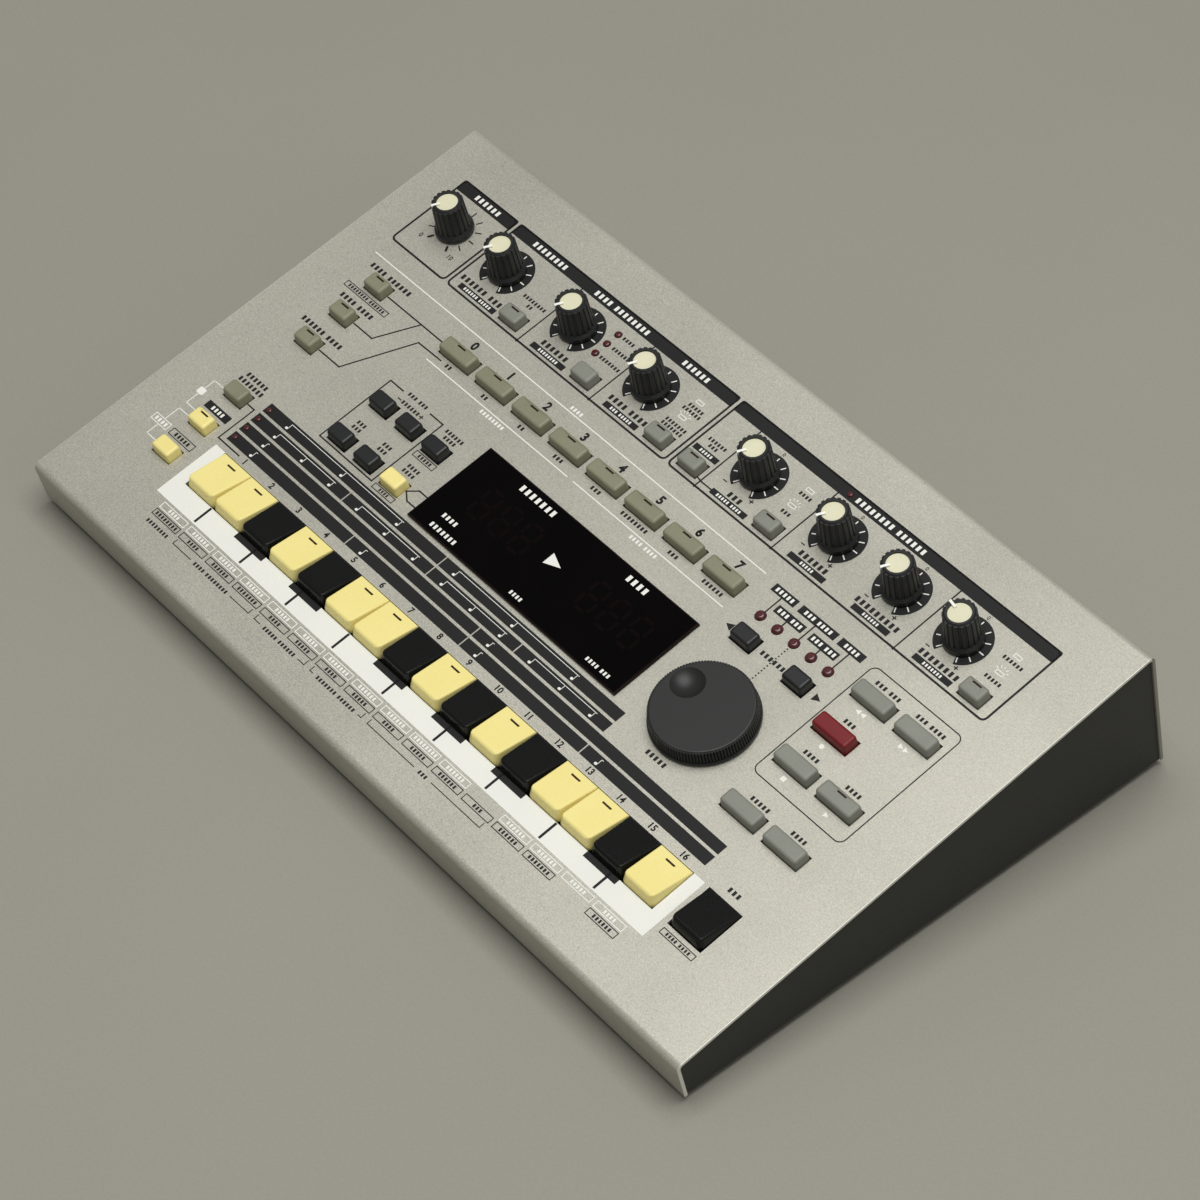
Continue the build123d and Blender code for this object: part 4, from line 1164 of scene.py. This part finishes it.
# %% Printing round the dial, the transport keys and the window
leaders = [65.48 + 8.094 * step for step in range(5)]
leader_foot, mode_tag_high = 132.2, 3.3
mode_tags = (
    (0, 60.0, 70.9, 139.2, 5), (2, 72.9, 90.1, 139.2, 3, 4), (4, 91.8, 103.0, 139.2, 4),
    (1, 67.0, 80.1, 133.9, 3, 3), (3, 83.4, 96.0, 133.9, 3, 3),
)
for lamp, left, right, low, *letters in mode_tags:
    dark_tag(left, right, low, low + mode_tag_high, *letters)
    line(black_marks, firm, (leaders[lamp], leader_foot), (leaders[lamp], low))
dot_top, dot_pitch, dot_count = 127.0, 1.27, 13
for step in range(dot_count):
    mark(black_marks, leaders[2], dot_top - dot_pitch * step, firm, firm)
word(black_marks, 81.6, 120.5, 2.2, 6)
small_arrow, select_arrow, window_arrow = (1.3, 1.1), (2.0, 1.8), (4.3, 3.0)
for x, turn in ((61.2, 180), (102.4, 0)):
    mark(black_marks, x, 120.4, *select_arrow, turn, arrow)
word(black_marks, 81.7, 69.6, 2.2, 5)

plate(black_marks, 106.9, 148.4, 88.0, 142.2, radius=2.8, rim=thin)
words(black_marks, 2.0, (117.6, 137.9, 3, 3), (137.3, 137.9, 3, 4), (117.6, 121.0, 3), (117.6, 104.3, 4),
      (137.2, 104.3, 4), (119.0, 81.0, 5), (137.0, 81.0, 4))
for shift in (-1.1, 1.1):
    mark(white_marks, 117.4 + shift, 126.2, *small_arrow, 180, arrow)
    mark(white_marks, 136.7 + shift, 126.2, *small_arrow, 0, arrow)
plate(white_marks, 116.4, 118.2, 108.2, 110.0, radius=0.85)
plate(white_marks, 116.4, 118.2, 91.6, 93.4)
mark(white_marks, 136.9, 92.5, *small_arrow, 0, arrow)

mark(glass_marks, -1.4, 97.0, *window_arrow, 0, arrow)
words(glass_marks, 3.0, (-24.0, 109.9, 7), (27.0, 109.9, 4))
words(glass_marks, 2.2, (-40.5, 84.4, 4), (-38.0, 79.2, 7))
words(glass_marks, 1.8, (0.1, 79.4, 4), (42.0, 79.4, 4, 3))
digit_width, digit_low, digit_high = 6.4, 90.4, 103.0
digit_bar, bar_length = 1.3, digit_width - 2.0
digit_middle, upright_length = (digit_low + digit_high) / 2, (digit_high - digit_low) / 2 - 1.8
for left in (-39.4, -28.9, -18.4, 16.6, 27.1, 37.6):
    right = left + digit_width
    for y in (digit_low, digit_middle, digit_high):
        mark(faint_marks, (left + right) / 2, y, bar_length, digit_bar)
    for x in (left, right):
        for end in (digit_low, digit_high):
            mark(faint_marks, x, (end + digit_middle) / 2, digit_bar, upright_length)
print("marks in all:", sum(map(len, (white_base, black_marks, white_marks, glass_marks, faint_marks))))

# %% [markdown]
# Each layer is joined into one piece, raised to its level and given a thickness downwards by Solidify,
# so that it is a closed skin of ink which reaches just into the surface below.

# %% Lay the ink
ink_root, window_top = 0.02, 1.3
ink_layers = (
    ("white_ground", white_base, 0, 0.03, white_ink, "silver_paint"),
    ("black_printing", black_marks, 0, 0.05, black_ink, "silver_paint"),
    ("white_printing", white_marks, 0, 0.07, white_ink, "silver_paint"),
    ("window_digits", faint_marks, window_top, 0.02, segment_red, "smoked_window"),
    ("window_printing", glass_marks, window_top, 0.04, white_ink, "smoked_window"),
)
for name, marks, ground, level, material, slot in ink_layers:
    layer = join(marks, name)
    layer.data.transform(Matrix.Translation((0, 0, ground + level)))
    apply_modifier(layer, "SOLIDIFY", thickness=level + ink_root, offset=-1)
    lay(layer, "case", (material,))
    print(name, "faces:", len(layer.data.polygons))
discard(stamp, arrow)

# %% [markdown]
# The floor is a plain pale sheet, and the light is soft: a large lamp high above the case, a weak one
# at its right, and an even grey world, so that colours render about as written. The metal flake in the
# paint mirrors the lamp more towards the right, which makes the panel brighter there, as in the
# photograph. The camera stands where the photograph was taken from, to the right of the case and above it.

# %% Floor, light and camera
floor_side, world_strength = 8, 0.3
floor_sheet = finish("floor_sheet", (150, 148, 136), (143, 141, 129), 0.85, cloud=6, grain=900, bump=0.05)
deselect()
bpy.ops.mesh.primitive_plane_add(size=floor_side)
floor = named("floor")
floor.data.materials.append(floor_sheet)
floor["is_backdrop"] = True

world = bpy.data.worlds.new("studio")
bpy.context.scene.world = world
world.use_nodes = True
background = world.node_tree.nodes["Background"]
background.inputs["Color"].default_value = (1, 1, 1, 1)
background.inputs["Strength"].default_value = world_strength


def add_lamp(name, place, size, power):
    """Square soft lamp that shines from a place towards the middle of the floor."""
    data = bpy.data.lights.new(name, "AREA")
    data.size, data.energy = size, power
    lamp = bpy.data.objects.new(name, data)
    lamp.location = place
    lamp.rotation_euler = (-Vector(place)).to_track_quat("-Z", "Y").to_euler()
    bpy.context.scene.collection.objects.link(lamp)


add_lamp("key_lamp", place=(0.15, -0.03, 1.7), size=1.2, power=25)
add_lamp("side_lamp", place=(1.5, -0.2, 0.9), size=1.2, power=1.5)

camera_aim = Vector((0.0159, -0.006, 0.0326))
camera_azimuth, camera_height_angle, camera_roll = 50.09, 47.1, -0.59
camera_distance, camera_lens, camera_sensor = 1.299, 117.45, 36
azimuth, height_angle = math.radians(camera_azimuth), math.radians(camera_height_angle)
level_share = math.cos(height_angle)
towards_camera = Vector((math.sin(azimuth) * level_share, -math.cos(azimuth) * level_share,
                         math.sin(height_angle)))
camera_data = bpy.data.cameras.new("camera")
camera_data.lens, camera_data.sensor_width = camera_lens, camera_sensor
camera = bpy.data.objects.new("camera", camera_data)
camera.location = camera_aim + camera_distance * towards_camera
level = (-towards_camera).to_track_quat("-Z", "Y").to_matrix().to_4x4()
camera.rotation_euler = (level @ Matrix.Rotation(math.radians(camera_roll), 4, "Z")).to_euler()
bpy.context.scene.collection.objects.link(camera)
bpy.context.scene.camera = camera
bpy.context.scene.view_settings.view_transform = "Standard"
print("camera at", [round(value, 3) for value in camera.location])

# %% [markdown]
# The box round the dressed model, without the floor, is measured. The dressed model must stay
# inside the CAD model's box.

# %% Measure the dressed model's box
low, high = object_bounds()
